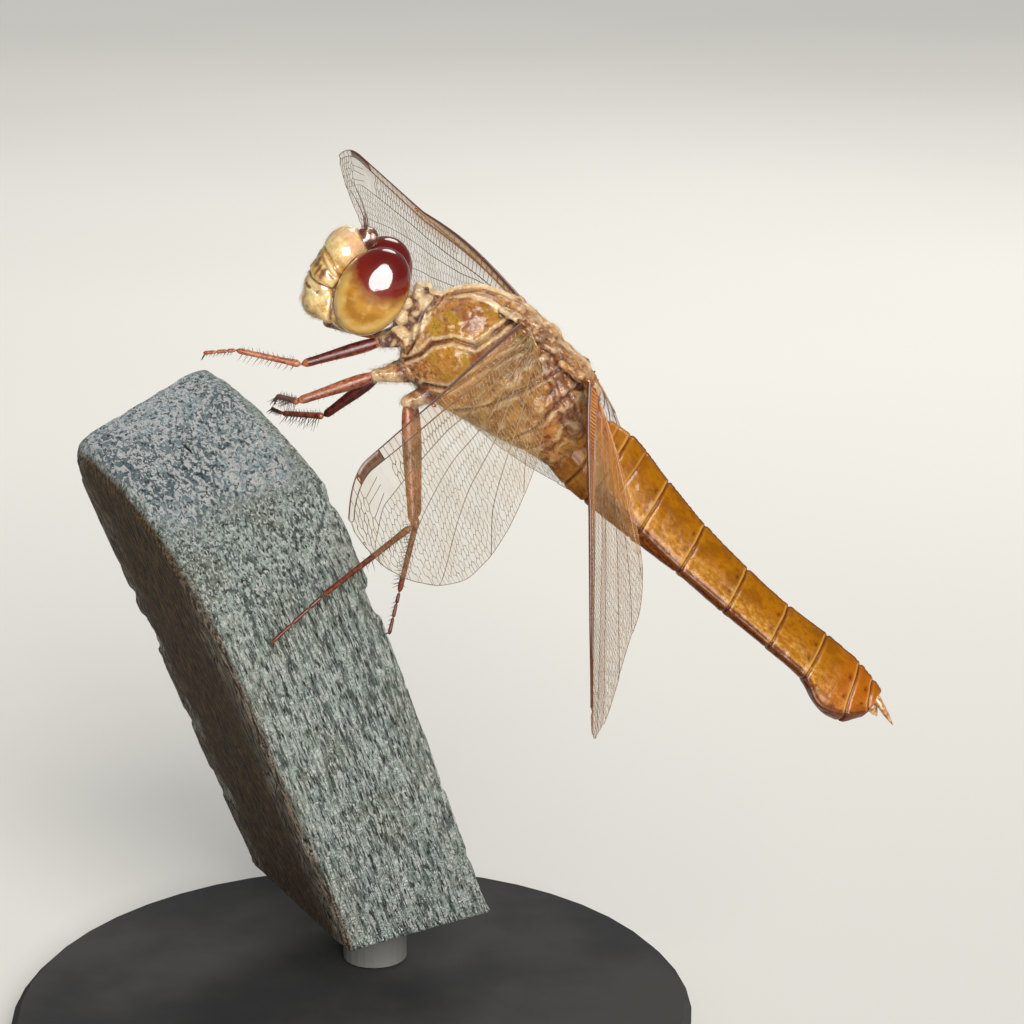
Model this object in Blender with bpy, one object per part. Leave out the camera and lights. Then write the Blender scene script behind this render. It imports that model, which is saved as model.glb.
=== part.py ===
"""A flame skimmer dragonfly, female, perched on a cut length of square stake.

A life-size still model on a plain display stand. The insect is laid out in its
own frame in millimetres: +X towards the head, +Y to its left, +Z dorsal, with
the origin in the middle of the thorax. The stand is laid out in the world
frame, whose origin is the middle of the base's underside.
"""

import math

import bmesh
import bpy
import numpy as np
from mathutils import Matrix, Vector

MM = 0.001
GAP = 0.3

# Where the insect stands, and how steeply it holds its body.
BODY_AT = (15.0, -20.0, 66.0)
BODY_PITCH = 38.9

# Trunk stations: x, dorsal line, ventral line, half width.
PROTHORAX = (
    (11.4, 1.7, -1.4, 1.1),
    (11.0, 2.6, -1.9, 1.6),
    (10.5, 2.1, -2.3, 1.8),
    (9.9, 2.6, -2.6, 1.9),
)
THORAX = (
    (9.6, 3.1, -3.0, 2.2),
    (8.7, 4.2, -3.9, 2.8),
    (7.4, 5.3, -4.4, 3.2),
    (5.0, 5.9, -4.5, 3.5),
    (2.0, 6.1, -4.1, 3.7),
    (-1.0, 5.7, -3.6, 3.5),
    (-3.4, 4.7, -3.1, 3.0),
    (-5.6, 2.8, -2.9, 2.4),
)
THORAX_ROUNDNESS = 2.4
SUTURE_X = 3.0
SUTURE_LEAN = 30.0

# Abdomen stations: x, dorsal carina, side margin, ventral line, half width.
ABDOMEN = (
    (-5.9, 2.6, -0.7, -3.0, 2.35),
    (-7.6, 3.1, -1.0, -3.3, 2.5),
    (-9.0, 3.15, -1.3, -3.4, 2.45),
    (-13.8, 2.1, -1.9, -3.4, 2.3),
    (-18.4, 1.15, -2.4, -3.3, 2.35),
    (-23.4, 0.5, -2.6, -3.5, 2.4),
    (-28.0, 0.2, -2.8, -3.6, 2.45),
    (-32.0, 0.25, -3.0, -3.8, 2.45),
    (-34.6, 0.2, -4.2, -4.8, 2.75),
    (-35.7, 0.05, -4.0, -5.0, 2.6),
    (-37.4, -0.3, -3.2, -4.7, 2.1),
    (-38.6, -0.6, -2.3, -3.4, 1.35),
)
SEGMENT_ENDS = (-5.9, -6.9, -9.0, -13.8, -18.4, -23.4, -28.0, -32.0, -35.7, -37.4, -38.6)
# One half of a tergite's section: share of the half width, share of the height.
ABDOMEN_HALF_SECTION = ((0.0, 1.0), (0.42, 0.76), (0.78, 0.36), (1.0, 0.0), (0.84, -0.6), (0.4, -1.0))

# Head: each piece is an ellipsoid with a middle, half sizes and a nod angle.
EYE_AT = (14.35, 2.2, -0.15)
EYE_SIZE = (2.72, 2.1, 3.72)
EYE_NOD = 8.0
CAPSULE = ((14.6, 0.0, -0.9), (2.2, 2.3, 3.0), 0.0)
VERTEX = ((17.1, 0.0, 2.5), (0.9, 1.0, 1.0), 0.0)
FRONS = ((17.75, 0.0, 0.55), (1.8, 2.2, 2.1), 15.0)
CLYPEUS = ((17.6, 0.0, -1.75), (1.65, 2.25, 1.75), 10.0)
LABRUM = ((16.8, 0.0, -3.5), (1.75, 2.1, 1.6), 35.0)
LABIUM = ((15.0, 0.0, -3.45), (2.3, 2.2, 1.3), -12.0)
ANTENNA = ((18.0, 0.9, 3.4), (20.6, 1.9, 5.0))
FEELER_RADIUS = 0.25

# Wings: lengths, roots, chords, then each wing's sweep, dihedral, twist, the twist gained towards the tip
# and how far its front edge arches ahead on the way to the nodus, which is at a share of the span.
WING_THICKNESS = 0.5
WING_NODUS = 0.5
FOREWING_LENGTH = 45.0
HINDWING_LENGTH = 41.5
FOREWING_ROOT = (3.8, 3.19, 5.6)
HINDWING_ROOT = (-3.0, 2.88, 5.2)
FOREWING_CHORDS = (
    (0.0, 2.0), (0.05, 4.5), (0.1, 6.2), (0.2, 8.2), (0.3, 9.4), (0.5, 10.9),
    (0.6, 11.2), (0.7, 11.1), (0.8, 10.2), (0.88, 8.6), (0.94, 6.2), (0.98, 3.6), (1.0, 0.6),
)
HINDWING_CHORDS = (
    (0.0, 5.0), (0.03, 8.6), (0.08, 12.6), (0.15, 15.2), (0.25, 15.8), (0.35, 15.0),
    (0.5, 13.4), (0.7, 11.3), (0.8, 9.6), (0.88, 7.8), (0.94, 5.6), (0.98, 3.2), (1.0, 0.6),
)
WING_POSES = (
    ("forewing_left", 1, FOREWING_ROOT, FOREWING_LENGTH, FOREWING_CHORDS, 11.5, -11.1, 23.1, 0.0, 0.1),
    ("forewing_right", -1, FOREWING_ROOT, FOREWING_LENGTH, FOREWING_CHORDS, 23.7, -6.7, 40.5, 0.0, 0.8),
    ("hindwing_left", 1, HINDWING_ROOT, HINDWING_LENGTH, HINDWING_CHORDS, -8.6, -12.4, 32.2, 18.0, 0.5),
    ("hindwing_right", -1, HINDWING_ROOT, HINDWING_LENGTH, HINDWING_CHORDS, 9.0, -22.1, 22.0, 0.0, 0.5),
)

# Legs: joints from the body outwards, then the radius at each joint.
LEG_JOINTS = {
    "fore_left": (
        (9.9, 1.2, -1.6), (11.3, 2.3, -2.7), (15.2, 3.5, -7.9),
        (19.8, 3.0, -10.3), (21.6, 2.5, -12.2),
    ),
    "fore_right": (
        (9.9, -1.2, -1.6), (10.9, -2.4, -3.2), (15.2, -4.9, -6.0),
        (12.0, -5.3, -2.2), (10.6, -4.6, -0.4),
    ),
    "mid_left": (
        (8.0, 1.4, -3.6), (10.0, 2.2, -5.2), (13.6, 3.2, -10.5),
        (14.5, -2.7, -12.6), (14.2, -5.2, -13.6),
    ),
    "mid_right": (
        (8.0, -1.4, -3.6), (9.4, -1.6, -6.0), (10.6, -2.9, -11.6),
        (13.2, -4.4, -13.9), (13.9, -6.4, -14.6),
    ),
    "hind_left": (
        (5.6, 1.5, -3.6), (6.8, 2.2, -5.4), (0.5, 4.2, -12.5),
        (2.2, 2.5, -22.1), (3.1, 3.6, -27.4),
    ),
    "hind_right": (
        (5.6, -1.5, -3.6), (5.8, -2.0, -6.0), (-0.6, -3.4, -13.7),
        (-3.5, -4.0, -19.8), (-5.0, -3.4, -23.0),
    ),
}
LEG_RADII = (0.95, 0.62, 0.42, 0.28, 0.26)

# Perch: a square-cut stake, leaning, with worn upper edges and a level foot.
STAKE_WIDTH = 14.0
STAKE_DEPTH = 21.8
STAKE_TOP = (-10.4, -17.5, 58.5)
STAKE_TURN = -114.7
STAKE_LEAN = 30.8
STAKE_TWIST = 145.9
STAKE_CROWN = 2.2
STAKE_WEAR = 2.6
STAKE_DOME = 2.2
STAKE_SLOPE = 5.5
STAKE_SLOPE_HEIGHT = 10.0
STAKE_EDGE = 0.5
STAKE_LENGTH = 90.0
STAKE_FOOT_Z = 12.0

# Display stand: a round base and one short rod.
BASE_RADIUS = 31.0
BASE_HEIGHT = 4.0
BASE_CHAMFER = 0.7
ROD_RADIUS = 3.0
ROD_AT = (1.6, 9.2)


def clear_scene():
    for old in list(bpy.data.objects):
        bpy.data.objects.remove(old, do_unlink=True)


def finish_material(name, colour, roughness, metallic=0.0):
    mat = bpy.data.materials.new(name)
    mat.use_nodes = True
    shader = mat.node_tree.nodes["Principled BSDF"]
    shader.inputs["Base Color"].default_value = (*colour, 1.0)
    shader.inputs["Roughness"].default_value = roughness
    shader.inputs["Metallic"].default_value = metallic
    return mat


def add_object(name, mesh_data, look, parent=None, smooth=True):
    if smooth:
        mesh_data.shade_smooth()
        mesh_data.set_sharp_from_angle(angle=math.radians(40))
    mesh_data.materials.append(finish_material(name + "_finish", *look))
    obj = bpy.data.objects.new(name, mesh_data)
    bpy.context.scene.collection.objects.link(obj)
    if parent is not None:
        obj.parent = parent
    return obj


def mesh_from_bmesh(name, bm):
    bmesh.ops.recalc_face_normals(bm, faces=bm.faces)
    data = bpy.data.meshes.new(name)
    bm.to_mesh(data)
    bm.free()
    return data


def loft(rings):
    """A closed body through rings of points that all have the same count."""
    bm = bmesh.new()
    loops = [[bm.verts.new(Vector(p) * MM) for p in ring] for ring in rings]
    count = len(loops[0])
    for lower, upper in zip(loops, loops[1:]):
        for i in range(count):
            j = (i + 1) % count
            bm.faces.new((lower[i], lower[j], upper[j], upper[i]))
    bm.faces.new(list(reversed(loops[0])))
    bm.faces.new(loops[-1])
    return bm


def station(table, x):
    """The row of a station table at x, eased between its neighbours."""
    rows = sorted(table)
    places = [row[0] for row in rows]
    columns = list(zip(*rows))[1:]
    return [float(np.interp(x, places, column)) for column in columns]


def trunk_ring(table, x, grow=0.0, sides=20):
    top, bottom, half_width = station(table, x)
    middle = (top + bottom) / 2
    half_height = (top - bottom) / 2 + grow
    half_width += grow
    power = 2 / THORAX_ROUNDNESS
    ring = []
    for i in range(sides):
        a = 2 * math.pi * (i + 0.5) / sides
        y = half_width * math.copysign(abs(math.cos(a)) ** power, math.cos(a))
        z = middle + half_height * math.copysign(abs(math.sin(a)) ** power, math.sin(a))
        ring.append((x, y, z))
    return ring


def abdomen_ring(x, grow=0.0, waist=1.0):
    top, margin, bottom, half_width = station(ABDOMEN, x)
    right = []
    for across, up in ABDOMEN_HALF_SECTION:
        rise = (top - margin) if up > 0 else (margin - bottom)
        y = (half_width * waist + grow) * across
        z = margin + up * (rise * waist + grow)
        right.append((x, y, z))
    left = [(x, -y, z) for x, y, z in reversed(right) if y > 0]
    return right + left


def bisect(bm, point, normal):
    """Keep the side that the normal points away from, and close the cut."""
    geometry = list(bm.verts) + list(bm.edges) + list(bm.faces)
    cut = bmesh.ops.bisect_plane(
        bm, geom=geometry, dist=1e-8, plane_co=Vector(point) * MM, plane_no=normal, clear_outer=True
    )
    edges = [item for item in cut["geom_cut"] if isinstance(item, bmesh.types.BMEdge)]
    bmesh.ops.edgeloop_fill(bm, edges=edges)


def tube(points, radii, sides):
    """A tapering tube along straight runs, with its rings at right angles."""
    places = [Vector(p) for p in points]
    heading = (places[-1] - places[0]).normalized()
    across = heading.orthogonal().normalized()
    other = heading.cross(across)
    rings = []
    for place, radius in zip(places, radii):
        ring = []
        for i in range(sides):
            a = 2 * math.pi * i / sides
            ring.append(place + radius * (math.cos(a) * across + math.sin(a) * other))
        rings.append(ring)
    return loft(rings)


def ellipsoid(middle, half_sizes, nod, grow=0.0, segments=20, rings=12):
    bm = bmesh.new()
    bmesh.ops.create_uvsphere(bm, u_segments=segments, v_segments=rings, radius=MM)
    sizes = [half + grow for half in half_sizes]
    place = Matrix.Translation(Vector(middle) * MM)
    turn = Matrix.Rotation(math.radians(nod), 4, "Y")
    bm.transform(place @ turn @ Matrix.Diagonal((*sizes, 1.0)))
    return bm


def add_cutter(name, bm, parent):
    data = mesh_from_bmesh(name, bm)
    cutter = bpy.data.objects.new(name, data)
    bpy.context.scene.collection.objects.link(cutter)
    cutter.parent = parent
    cutter.hide_render = True
    cutter.display_type = "WIRE"
    return cutter


def trim(obj, cutters):
    for cutter in cutters:
        step = obj.modifiers.new("clear_of_" + cutter.name, "BOOLEAN")
        step.operation = "DIFFERENCE"
        step.solver = "EXACT"
        step.object = cutter


def build_trunk(frame):
    shell = (0.50, 0.24, 0.07)
    neck = tube(((12.2, 0, -0.3), (11.7, 0, -0.3)), (0.8, 0.8), 12)
    add_object("neck", mesh_from_bmesh("neck", neck), (shell, 0.6), frame)
    rings = [trunk_ring(PROTHORAX, row[0], sides=16) for row in PROTHORAX]
    add_object("prothorax", mesh_from_bmesh("prothorax", loft(rings)), (shell, 0.55), frame)
    lean = math.radians(SUTURE_LEAN)
    across = Vector((math.cos(lean), 0, math.sin(lean)))
    for name, side in (("mesothorax", -1), ("metathorax", 1)):
        bm = loft([trunk_ring(THORAX, row[0]) for row in THORAX])
        seam = Vector((SUTURE_X, 0, 0)) - across * side * GAP / 2
        bisect(bm, seam, across * side)
        add_object(name, mesh_from_bmesh(name, bm), (shell, 0.5), frame)


def build_abdomen(frame):
    amber = (0.56, 0.20, 0.03)
    for number, (front, back) in enumerate(zip(SEGMENT_ENDS, SEGMENT_ENDS[1:]), start=1):
        first = front - GAP / 2
        last = back + GAP / 2
        inner = [row[0] for row in ABDOMEN if last + 0.4 < row[0] < first - 0.4]
        places = [first, *inner, last]
        if len(places) < 3:
            places.insert(1, (first + last) / 2)
        rings = [abdomen_ring(x) for x in places]
        rings[0] = abdomen_ring(first, waist=0.965)
        name = f"abdomen_s{number}"
        add_object(name, mesh_from_bmesh(name, loft(rings)), (amber, 0.35), frame)
    for name, side in (("cercus_left", 1), ("cercus_right", -1)):
        points = ((-38.8, side * 0.6, -1.4), (-39.8, side * 0.75, -1.75), (-41.1, side * 0.7, -2.2))
        bm = tube(points, (0.35, 0.38, 0.25), 8)
        add_object(name, mesh_from_bmesh(name, bm), ((0.20, 0.04, 0.02), 0.4), frame)


def build_head(frame):
    """The capsule comes first; eyes, then face plates, are trimmed to what they sit on."""
    face = (0.62, 0.38, 0.12)
    add_object("head", mesh_from_bmesh("head", ellipsoid(*CAPSULE)), (face, 0.5), frame)
    taken = [add_cutter("head_room", ellipsoid(*CAPSULE, grow=GAP), frame)]
    eye_rooms = []
    for name, side in (("eye_left", 1), ("eye_right", -1)):
        middle = (EYE_AT[0], side * EYE_AT[1], EYE_AT[2])
        bm = ellipsoid(middle, EYE_SIZE, EYE_NOD)
        eye = add_object(name, mesh_from_bmesh(name, bm), ((0.30, 0.05, 0.02), 0.15), frame)
        trim(eye, taken)
        room = ellipsoid(middle, EYE_SIZE, EYE_NOD, grow=GAP)
        eye_rooms.append(add_cutter(name + "_room", room, frame))
    taken = taken + eye_rooms
    pieces = (
        ("frons", FRONS),
        ("clypeus", CLYPEUS),
        ("labrum", LABRUM),
        ("vertex", VERTEX),
        ("labium", LABIUM),
    )
    for name, shape in pieces:
        obj = add_object(name, mesh_from_bmesh(name, ellipsoid(*shape)), (face, 0.5), frame)
        trim(obj, taken)
        taken.append(add_cutter(name + "_room", ellipsoid(*shape, grow=GAP), frame))
    for name, side in (("antenna_left", 1), ("antenna_right", -1)):
        points = [(x, side * y, z) for x, y, z in ANTENNA]
        bm = tube(points, (FEELER_RADIUS, FEELER_RADIUS), 8)
        add_object(name, mesh_from_bmesh(name, bm), ((0.12, 0.04, 0.02), 0.5), frame)


def wing_axes(side, sweep, dihedral, twist):
    """Unit vectors along the wing, along its chord towards the front, and up."""
    a = math.radians(sweep)
    d = math.radians(dihedral)
    t = math.radians(twist)
    along = Vector((math.sin(a) * math.cos(d), side * math.cos(a) * math.cos(d), math.sin(d)))
    ahead = Vector((1, 0, 0))
    ahead = (ahead - ahead.dot(along) * along).normalized()
    up = side * ahead.cross(along)
    chord = math.cos(t) * ahead + math.sin(t) * up
    return along, chord, side * chord.cross(along)


def build_wing(name, side, root, length, chords, sweep, dihedral, twist, washout, bow, frame, cutters):
    base = Vector((root[0], side * root[1], root[2]))
    rings = []
    for share, width in chords:
        along, chord, up = wing_axes(side, sweep, dihedral, twist + washout * share)
        bend = 2.2 * max(0.0, (share - 0.85) / 0.15) ** 2
        arch = bow * math.sin(math.pi * min(1.0, share / WING_NODUS))
        front = base + share * length * along + (arch - bend) * chord
        back = front - width * chord
        lift = up * WING_THICKNESS / 2
        rings.append((front + lift, back + lift, back - lift, front - lift))
    look = ((0.75, 0.55, 0.25), 0.3)
    obj = add_object(name, mesh_from_bmesh(name, loft(rings)), look, frame)
    trim(obj, cutters)


def build_leg(name, joints, frame, cutters):
    """Coxa, femur, tibia and tarsus, each a tube that stops short of the joint."""
    look = ((0.30, 0.10, 0.05), 0.45)
    parts = ("coxa", "femur", "tibia", "tarsus")
    for part, start, end, r0, r1 in zip(parts, joints, joints[1:], LEG_RADII, LEG_RADII[1:]):
        a = Vector(start)
        b = Vector(end)
        heading = (b - a).normalized()
        if part != "coxa":
            fold = math.sin(min(math.pi / 2, math.pi - heading.angle(before)))
            a = a + heading * max(r0 + GAP, (2 * r0 + GAP) / fold if fold < 0.999 else 0.0)
        before = heading
        if part != "tarsus":
            b = b - heading * 0.05
        middle = a.lerp(b, 0.45)
        thick = max(r0, r1) * (1.12 if part == "femur" else 1.0)
        radii = (r0 * 0.8 if part != "coxa" else r0, thick * 0.95, r1)
        bm = tube((a, middle, b), radii, 8 if part in ("coxa", "femur") else 6)
        leg_name = f"{part}_{name}"
        obj = add_object(leg_name, mesh_from_bmesh(leg_name, bm), look, frame)
        if part == "coxa":
            trim(obj, cutters)


def rounded_rectangle(width, depth, radius, z, corner_steps=3, side_steps=4):
    corners = []
    for sx, sy, start in ((1, 1, 0), (-1, 1, 90), (-1, -1, 180), (1, -1, 270)):
        arc = []
        for i in range(corner_steps + 1):
            a = math.radians(start + 90 * i / corner_steps)
            x = sx * (width / 2 - radius) + radius * math.cos(a)
            y = sy * (depth / 2 - radius) + radius * math.sin(a)
            arc.append(Vector((x, y, z)))
        corners.append(arc)
    ring = []
    for arc, following in zip(corners, corners[1:] + corners[:1]):
        ring += arc
        for i in range(1, side_steps):
            ring.append(arc[-1].lerp(following[0], i / side_steps))
    return ring


def weathered(ring, dome):
    """Slopes a stake ring's near side back towards the top and lifts its middle by the dome."""
    points = []
    for x, y, z in ring:
        back = 2 * y / STAKE_DEPTH
        high = min(1.0, max(0.0, 1 + (z - STAKE_CROWN) / STAKE_SLOPE_HEIGHT))
        share = 0.75 - 0.5 * x / STAKE_WIDTH
        slope = STAKE_SLOPE * share * max(0.0, -back) * high**1.5
        points.append((x, y + slope, z + dome * (1 - back**2)))
    return points


def build_stake():
    """A square-cut stake whose upper end is domed and worn round along its edges."""
    rings = []
    for z in (-STAKE_LENGTH, -8.0, -5.5, -3.0):
        rings.append(weathered(rounded_rectangle(STAKE_WIDTH, STAKE_DEPTH, STAKE_EDGE, z), 0.0))
    for step in range(5):
        a = math.radians(90 * step / 4)
        inset = STAKE_WEAR * (1 - math.cos(a))
        z = STAKE_CROWN - STAKE_WEAR * (1 - math.sin(a))
        size = (STAKE_WIDTH - 2 * inset, STAKE_DEPTH - 2 * inset)
        ring = rounded_rectangle(*size, STAKE_EDGE + 0.8 * inset, z)
        rings.append(weathered(ring, STAKE_DOME))
    for share in (0.6, 0.2):
        ring = rounded_rectangle(size[0] * share, size[1] * share, 0.4, STAKE_CROWN)
        rings.append(weathered(ring, STAKE_DOME))
    bm = loft(rings)
    turn = Matrix.Rotation(math.radians(STAKE_TURN), 4, "Z")
    lean = Matrix.Rotation(math.radians(STAKE_LEAN), 4, "Y")
    twist = Matrix.Rotation(math.radians(STAKE_TWIST), 4, "Z")
    place = Matrix.Translation(Vector(STAKE_TOP) * MM)
    bm.transform(place @ turn @ lean @ twist)
    bisect(bm, (0, 0, STAKE_FOOT_Z), (0, 0, -1))
    look = ((0.30, 0.32, 0.32), 0.9)
    add_object("perch_stake", mesh_from_bmesh("perch_stake", bm), look)


def turned(profile, sides, x=0.0, y=0.0):
    """A closed body of revolution from (radius, height) pairs, bottom to top."""
    rings = []
    for radius, z in profile:
        ring = []
        for i in range(sides):
            a = 2 * math.pi * i / sides
            ring.append((x + radius * math.cos(a), y + radius * math.sin(a), z))
        rings.append(ring)
    return loft(rings)


def build_stand():
    look = ((0.16, 0.15, 0.14), 0.5)
    r = BASE_RADIUS
    c = BASE_CHAMFER
    h = BASE_HEIGHT
    profile = ((r - c, 0.0), (r, c), (r, h - c), (r - c, h))
    add_object("stand_base", mesh_from_bmesh("stand_base", turned(profile, 48)), look)
    rod = turned(((ROD_RADIUS, h + GAP), (ROD_RADIUS, STAKE_FOOT_Z - GAP)), 24, *ROD_AT)
    add_object("stand_rod", mesh_from_bmesh("stand_rod", rod), look)


def main():
    clear_scene()
    frame = bpy.data.objects.new("insect_frame", None)
    frame.location = Vector(BODY_AT) * MM
    frame.rotation_euler = (0.0, -math.radians(BODY_PITCH), math.pi)
    bpy.context.scene.collection.objects.link(frame)

    build_trunk(frame)
    build_abdomen(frame)
    build_head(frame)
    room = [add_cutter("thorax_room", loft([trunk_ring(THORAX, row[0], GAP) for row in THORAX]), frame)]
    front_rings = [trunk_ring(PROTHORAX, row[0], GAP, 16) for row in PROTHORAX]
    room.append(add_cutter("prothorax_room", loft(front_rings), frame))
    waist_rings = [abdomen_ring(x, GAP) for x in (-5.6, -7.6, -9.0, -13.8, -18.4, -23.4)]
    room.append(add_cutter("waist_room", loft(waist_rings), frame))
    for pose in WING_POSES:
        build_wing(*pose, frame, (room[0], room[2]))
    for name, joints in LEG_JOINTS.items():
        build_leg(name, joints, frame, room[:2])
    build_stake()
    build_stand()


main()
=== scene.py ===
"""Looks for the flame skimmer on its stake.

Lengths are millimetres in the insect's own frame (+X to the head, +Y to its
left, +Z dorsal) or, for the stake, in the stake's frame. They are turned into
metres in the row frame when a piece is made.
"""

import math

import bmesh
import bpy
import numpy as np
from mathutils import Euler, Matrix, Vector


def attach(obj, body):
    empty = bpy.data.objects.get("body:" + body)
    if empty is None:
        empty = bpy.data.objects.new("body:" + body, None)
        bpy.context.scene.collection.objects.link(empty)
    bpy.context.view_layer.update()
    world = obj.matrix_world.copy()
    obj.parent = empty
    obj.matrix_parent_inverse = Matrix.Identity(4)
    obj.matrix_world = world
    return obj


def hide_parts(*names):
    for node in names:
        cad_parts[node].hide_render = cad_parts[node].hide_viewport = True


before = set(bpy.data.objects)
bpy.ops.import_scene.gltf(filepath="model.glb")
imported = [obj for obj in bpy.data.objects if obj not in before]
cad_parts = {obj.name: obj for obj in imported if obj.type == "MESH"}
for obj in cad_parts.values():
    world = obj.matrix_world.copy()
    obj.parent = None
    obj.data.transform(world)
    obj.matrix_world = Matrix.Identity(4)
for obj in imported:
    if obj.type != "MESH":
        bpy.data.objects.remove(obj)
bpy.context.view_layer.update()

MM = 0.001
RNG = np.random.default_rng(7)
# Multipliers that scramble grid places into values in grain().
HASH_PRIMES = (73856093, 19349663, 83492791, 1274126177)
VOXEL, QUICK_VOXEL = 0.09, 0.16
THORAX_HAIRS, FACE_HAIRS, QUICK_SHARE = 6500, 2600, 0.3
# Directions of a hair's three corners, in radians.
HAIR_CORNERS = (0, 2.094, 4.189)
# Side of each hair's own patch of the OFBake map, as a share of the map.
HAIR_ON_MAP = 0.003
# The skin is cut at these two places along x, and smoothed more ahead of the third.
NECK_X, WAIST_X, FACE_X = 12.0, -5.9, 15.0
# Rounds of smoothing for the skin, for the face and for the skin that relief is measured from.
SKIN_ROUNDS, FACE_ROUNDS, RELIEF_ROUNDS = 8, 24, 16

BODY_AT = (15.0, -20.0, 66.0)
BODY_PITCH = 38.9
BODY_TO_ROW = (
    Matrix.Translation(Vector(BODY_AT) * MM)
    @ Euler((0.0, -math.radians(BODY_PITCH), math.pi)).to_matrix().to_4x4()
    @ Matrix.Diagonal((MM, MM, MM, 1.0))
)

# x, dorsal line, ventral line, half width
PROTHORAX = (
    (11.4, 1.7, -1.4, 1.1),
    (11.0, 2.5, -1.9, 1.55),
    (10.5, 2.1, -2.3, 1.75),
    (9.9, 2.5, -2.6, 1.85),
    (9.0, 2.6, -2.8, 1.9),
)
THORAX = (
    (9.6, 2.9, -2.8, 2.0),
    (9.2, 3.5, -3.4, 2.4),
    (8.7, 4.1, -3.8, 2.7),
    (7.4, 5.15, -4.3, 3.1),
    (5.0, 5.75, -4.4, 3.4),
    (2.0, 5.75, -4.0, 3.6),
    (-1.0, 5.3, -3.5, 3.4),
    (-3.4, 4.4, -3.0, 2.9),
    (-5.6, 2.7, -2.8, 2.3),
    (-6.4, 2.3, -2.6, 2.0),
)
# x, dorsal carina, side margin, ventral line, half width
ABDOMEN = (
    (-5.2, 2.3, -0.6, -2.8, 2.2),
    (-5.9, 2.55, -0.7, -2.95, 2.3),
    (-7.6, 3.05, -1.0, -3.25, 2.45),
    (-9.0, 3.1, -1.3, -3.35, 2.4),
    (-13.8, 2.05, -1.9, -3.35, 2.25),
    (-18.4, 1.1, -2.4, -3.25, 2.3),
    (-23.4, 0.45, -2.6, -3.45, 2.35),
    (-28.0, 0.15, -2.8, -3.55, 2.4),
    (-32.0, 0.2, -3.0, -3.75, 2.4),
    (-34.6, 0.15, -4.15, -4.7, 2.7),
    (-35.7, 0.0, -3.95, -4.9, 2.55),
    (-37.4, -0.35, -3.2, -4.55, 2.05),
    (-38.5, -0.65, -2.3, -3.3, 1.3),
)
SEGMENT_ENDS = (-5.9, -6.9, -9.0, -13.8, -18.4, -23.4, -28.0, -32.0, -35.7, -37.4, -38.5)
ABDOMEN_HALF_SECTION = (
    (0.0, 1.0), (0.42, 0.78), (0.78, 0.38), (1.0, 0.0), (0.86, -0.5), (0.45, -0.95), (0.0, -1.0),
)

SIDES = (("left", 1), ("right", -1))
EYE_AT = (14.35, 2.2, -0.15)
EYE_SIZE = (2.72, 2.1, 3.72)
EYE_NOD = 8.0
VERTEX = ((17.1, 0.0, 2.5), (0.85, 0.95, 0.95), 0.0)
# Middle, half sizes and nod: capsule, vertex, frons, clypeus, labrum, labium, and three that fill between.
HEAD_BALLS = (
    ((14.6, 0.0, -0.9), (2.15, 2.25, 2.95), 0.0),
    VERTEX,
    ((17.75, 0.0, 0.55), (1.76, 2.15, 2.06), 15.0),
    ((17.6, 0.0, -1.75), (1.6, 2.2, 1.7), 10.0),
    ((16.8, 0.0, -3.5), (1.7, 2.05, 1.55), 35.0),
    ((15.2, 0.0, -3.35), (2.05, 1.9, 1.1), -12.0),
    ((17.75, 0.0, -0.75), (1.5, 2.1, 1.3), 12.0),
    ((17.35, 0.0, -2.7), (1.6, 2.05, 1.2), 22.0),
    ((17.5, 0.0, 1.9), (1.0, 1.3, 0.8), 10.0),
)
# The cheek, the back of the head, the jaw and the antenna's socket, on the left.
HEAD_SIDE_BALLS = (
    (16.1, 1.6, -3.3, 1.1, 0.7, 1.3, 20, 32, 20),
    (12.75, 1.5, -0.3, 0.6, 1.5, 2.3, 0, 32, 20),
    (15.1, 1.2, -3.45, 1.6, 0.8, 0.75, -12, 32, 20),
    (17.45, 0.62, 3.05, 0.3, 0.3, 0.28, 0, 16, 12),
)
EYE_SQUARENESS = 2.35
CERCUS = (
    (-38.2, 0.5, -1.25), (-38.8, 0.6, -1.4), (-39.8, 0.72, -1.75), (-40.6, 0.7, -2.0), (-41.0, 0.66, -2.15),
)
EPIPROCT = ((-38.2, 0, -2.0), (-38.9, 0, -2.15), (-39.4, 0, -2.4), (-39.7, 0, -2.5))
ANTENNA = ((17.6, 0.75, 3.1), (18.3, 1.0, 3.75), (19.5, 1.5, 4.5), (20.5, 1.85, 4.95))

# The wings' lengthwise arch ends at this share of the span.
ARCH_END = 0.5
STIGMA_SPAN = (0.80, 0.91)
STIGMA_CLEAR = (0.79, 0.915)
# A strip between two long veins has cells only where it is wider than this.
THINNEST_STRIP = 0.16
# Height of a row of cells before and beyond the nodus, and how far a cell wall stops short of the
# row's edge, as a share of the row, so that the edge zigzags.
ROW_HEIGHTS = (0.72, 0.62)
ZIGZAG = 0.17
# Distance between cross veins in front, dense or sparse, and between cells in single or many rows.
CROSS_PITCH = (0.6, 1.2)
CELL_PITCH = (0.85, 0.68)
# Radii of the margin and of the cell walls in front and behind.
MARGIN_RADIUS = 0.024
WALL_RADII = (0.024, 0.0155)
# Rows of share of the span and chord.
FOREWING_CHORDS = (
    (0.0, 2.0), (0.05, 4.5), (0.1, 6.2), (0.2, 8.2), (0.3, 9.4), (0.5, 10.8),
    (0.6, 11.1), (0.7, 11.0), (0.8, 10.1), (0.88, 8.5), (0.94, 6.2), (0.98, 3.6), (1.0, 0.6),
)
HINDWING_CHORDS = (
    (0.0, 4.6), (0.03, 8.3), (0.08, 12.3), (0.15, 15.0), (0.25, 15.7), (0.35, 14.9),
    (0.5, 13.3), (0.7, 11.2), (0.8, 9.6), (0.88, 7.8), (0.94, 5.6), (0.98, 3.2), (1.0, 0.6),
)
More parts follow.
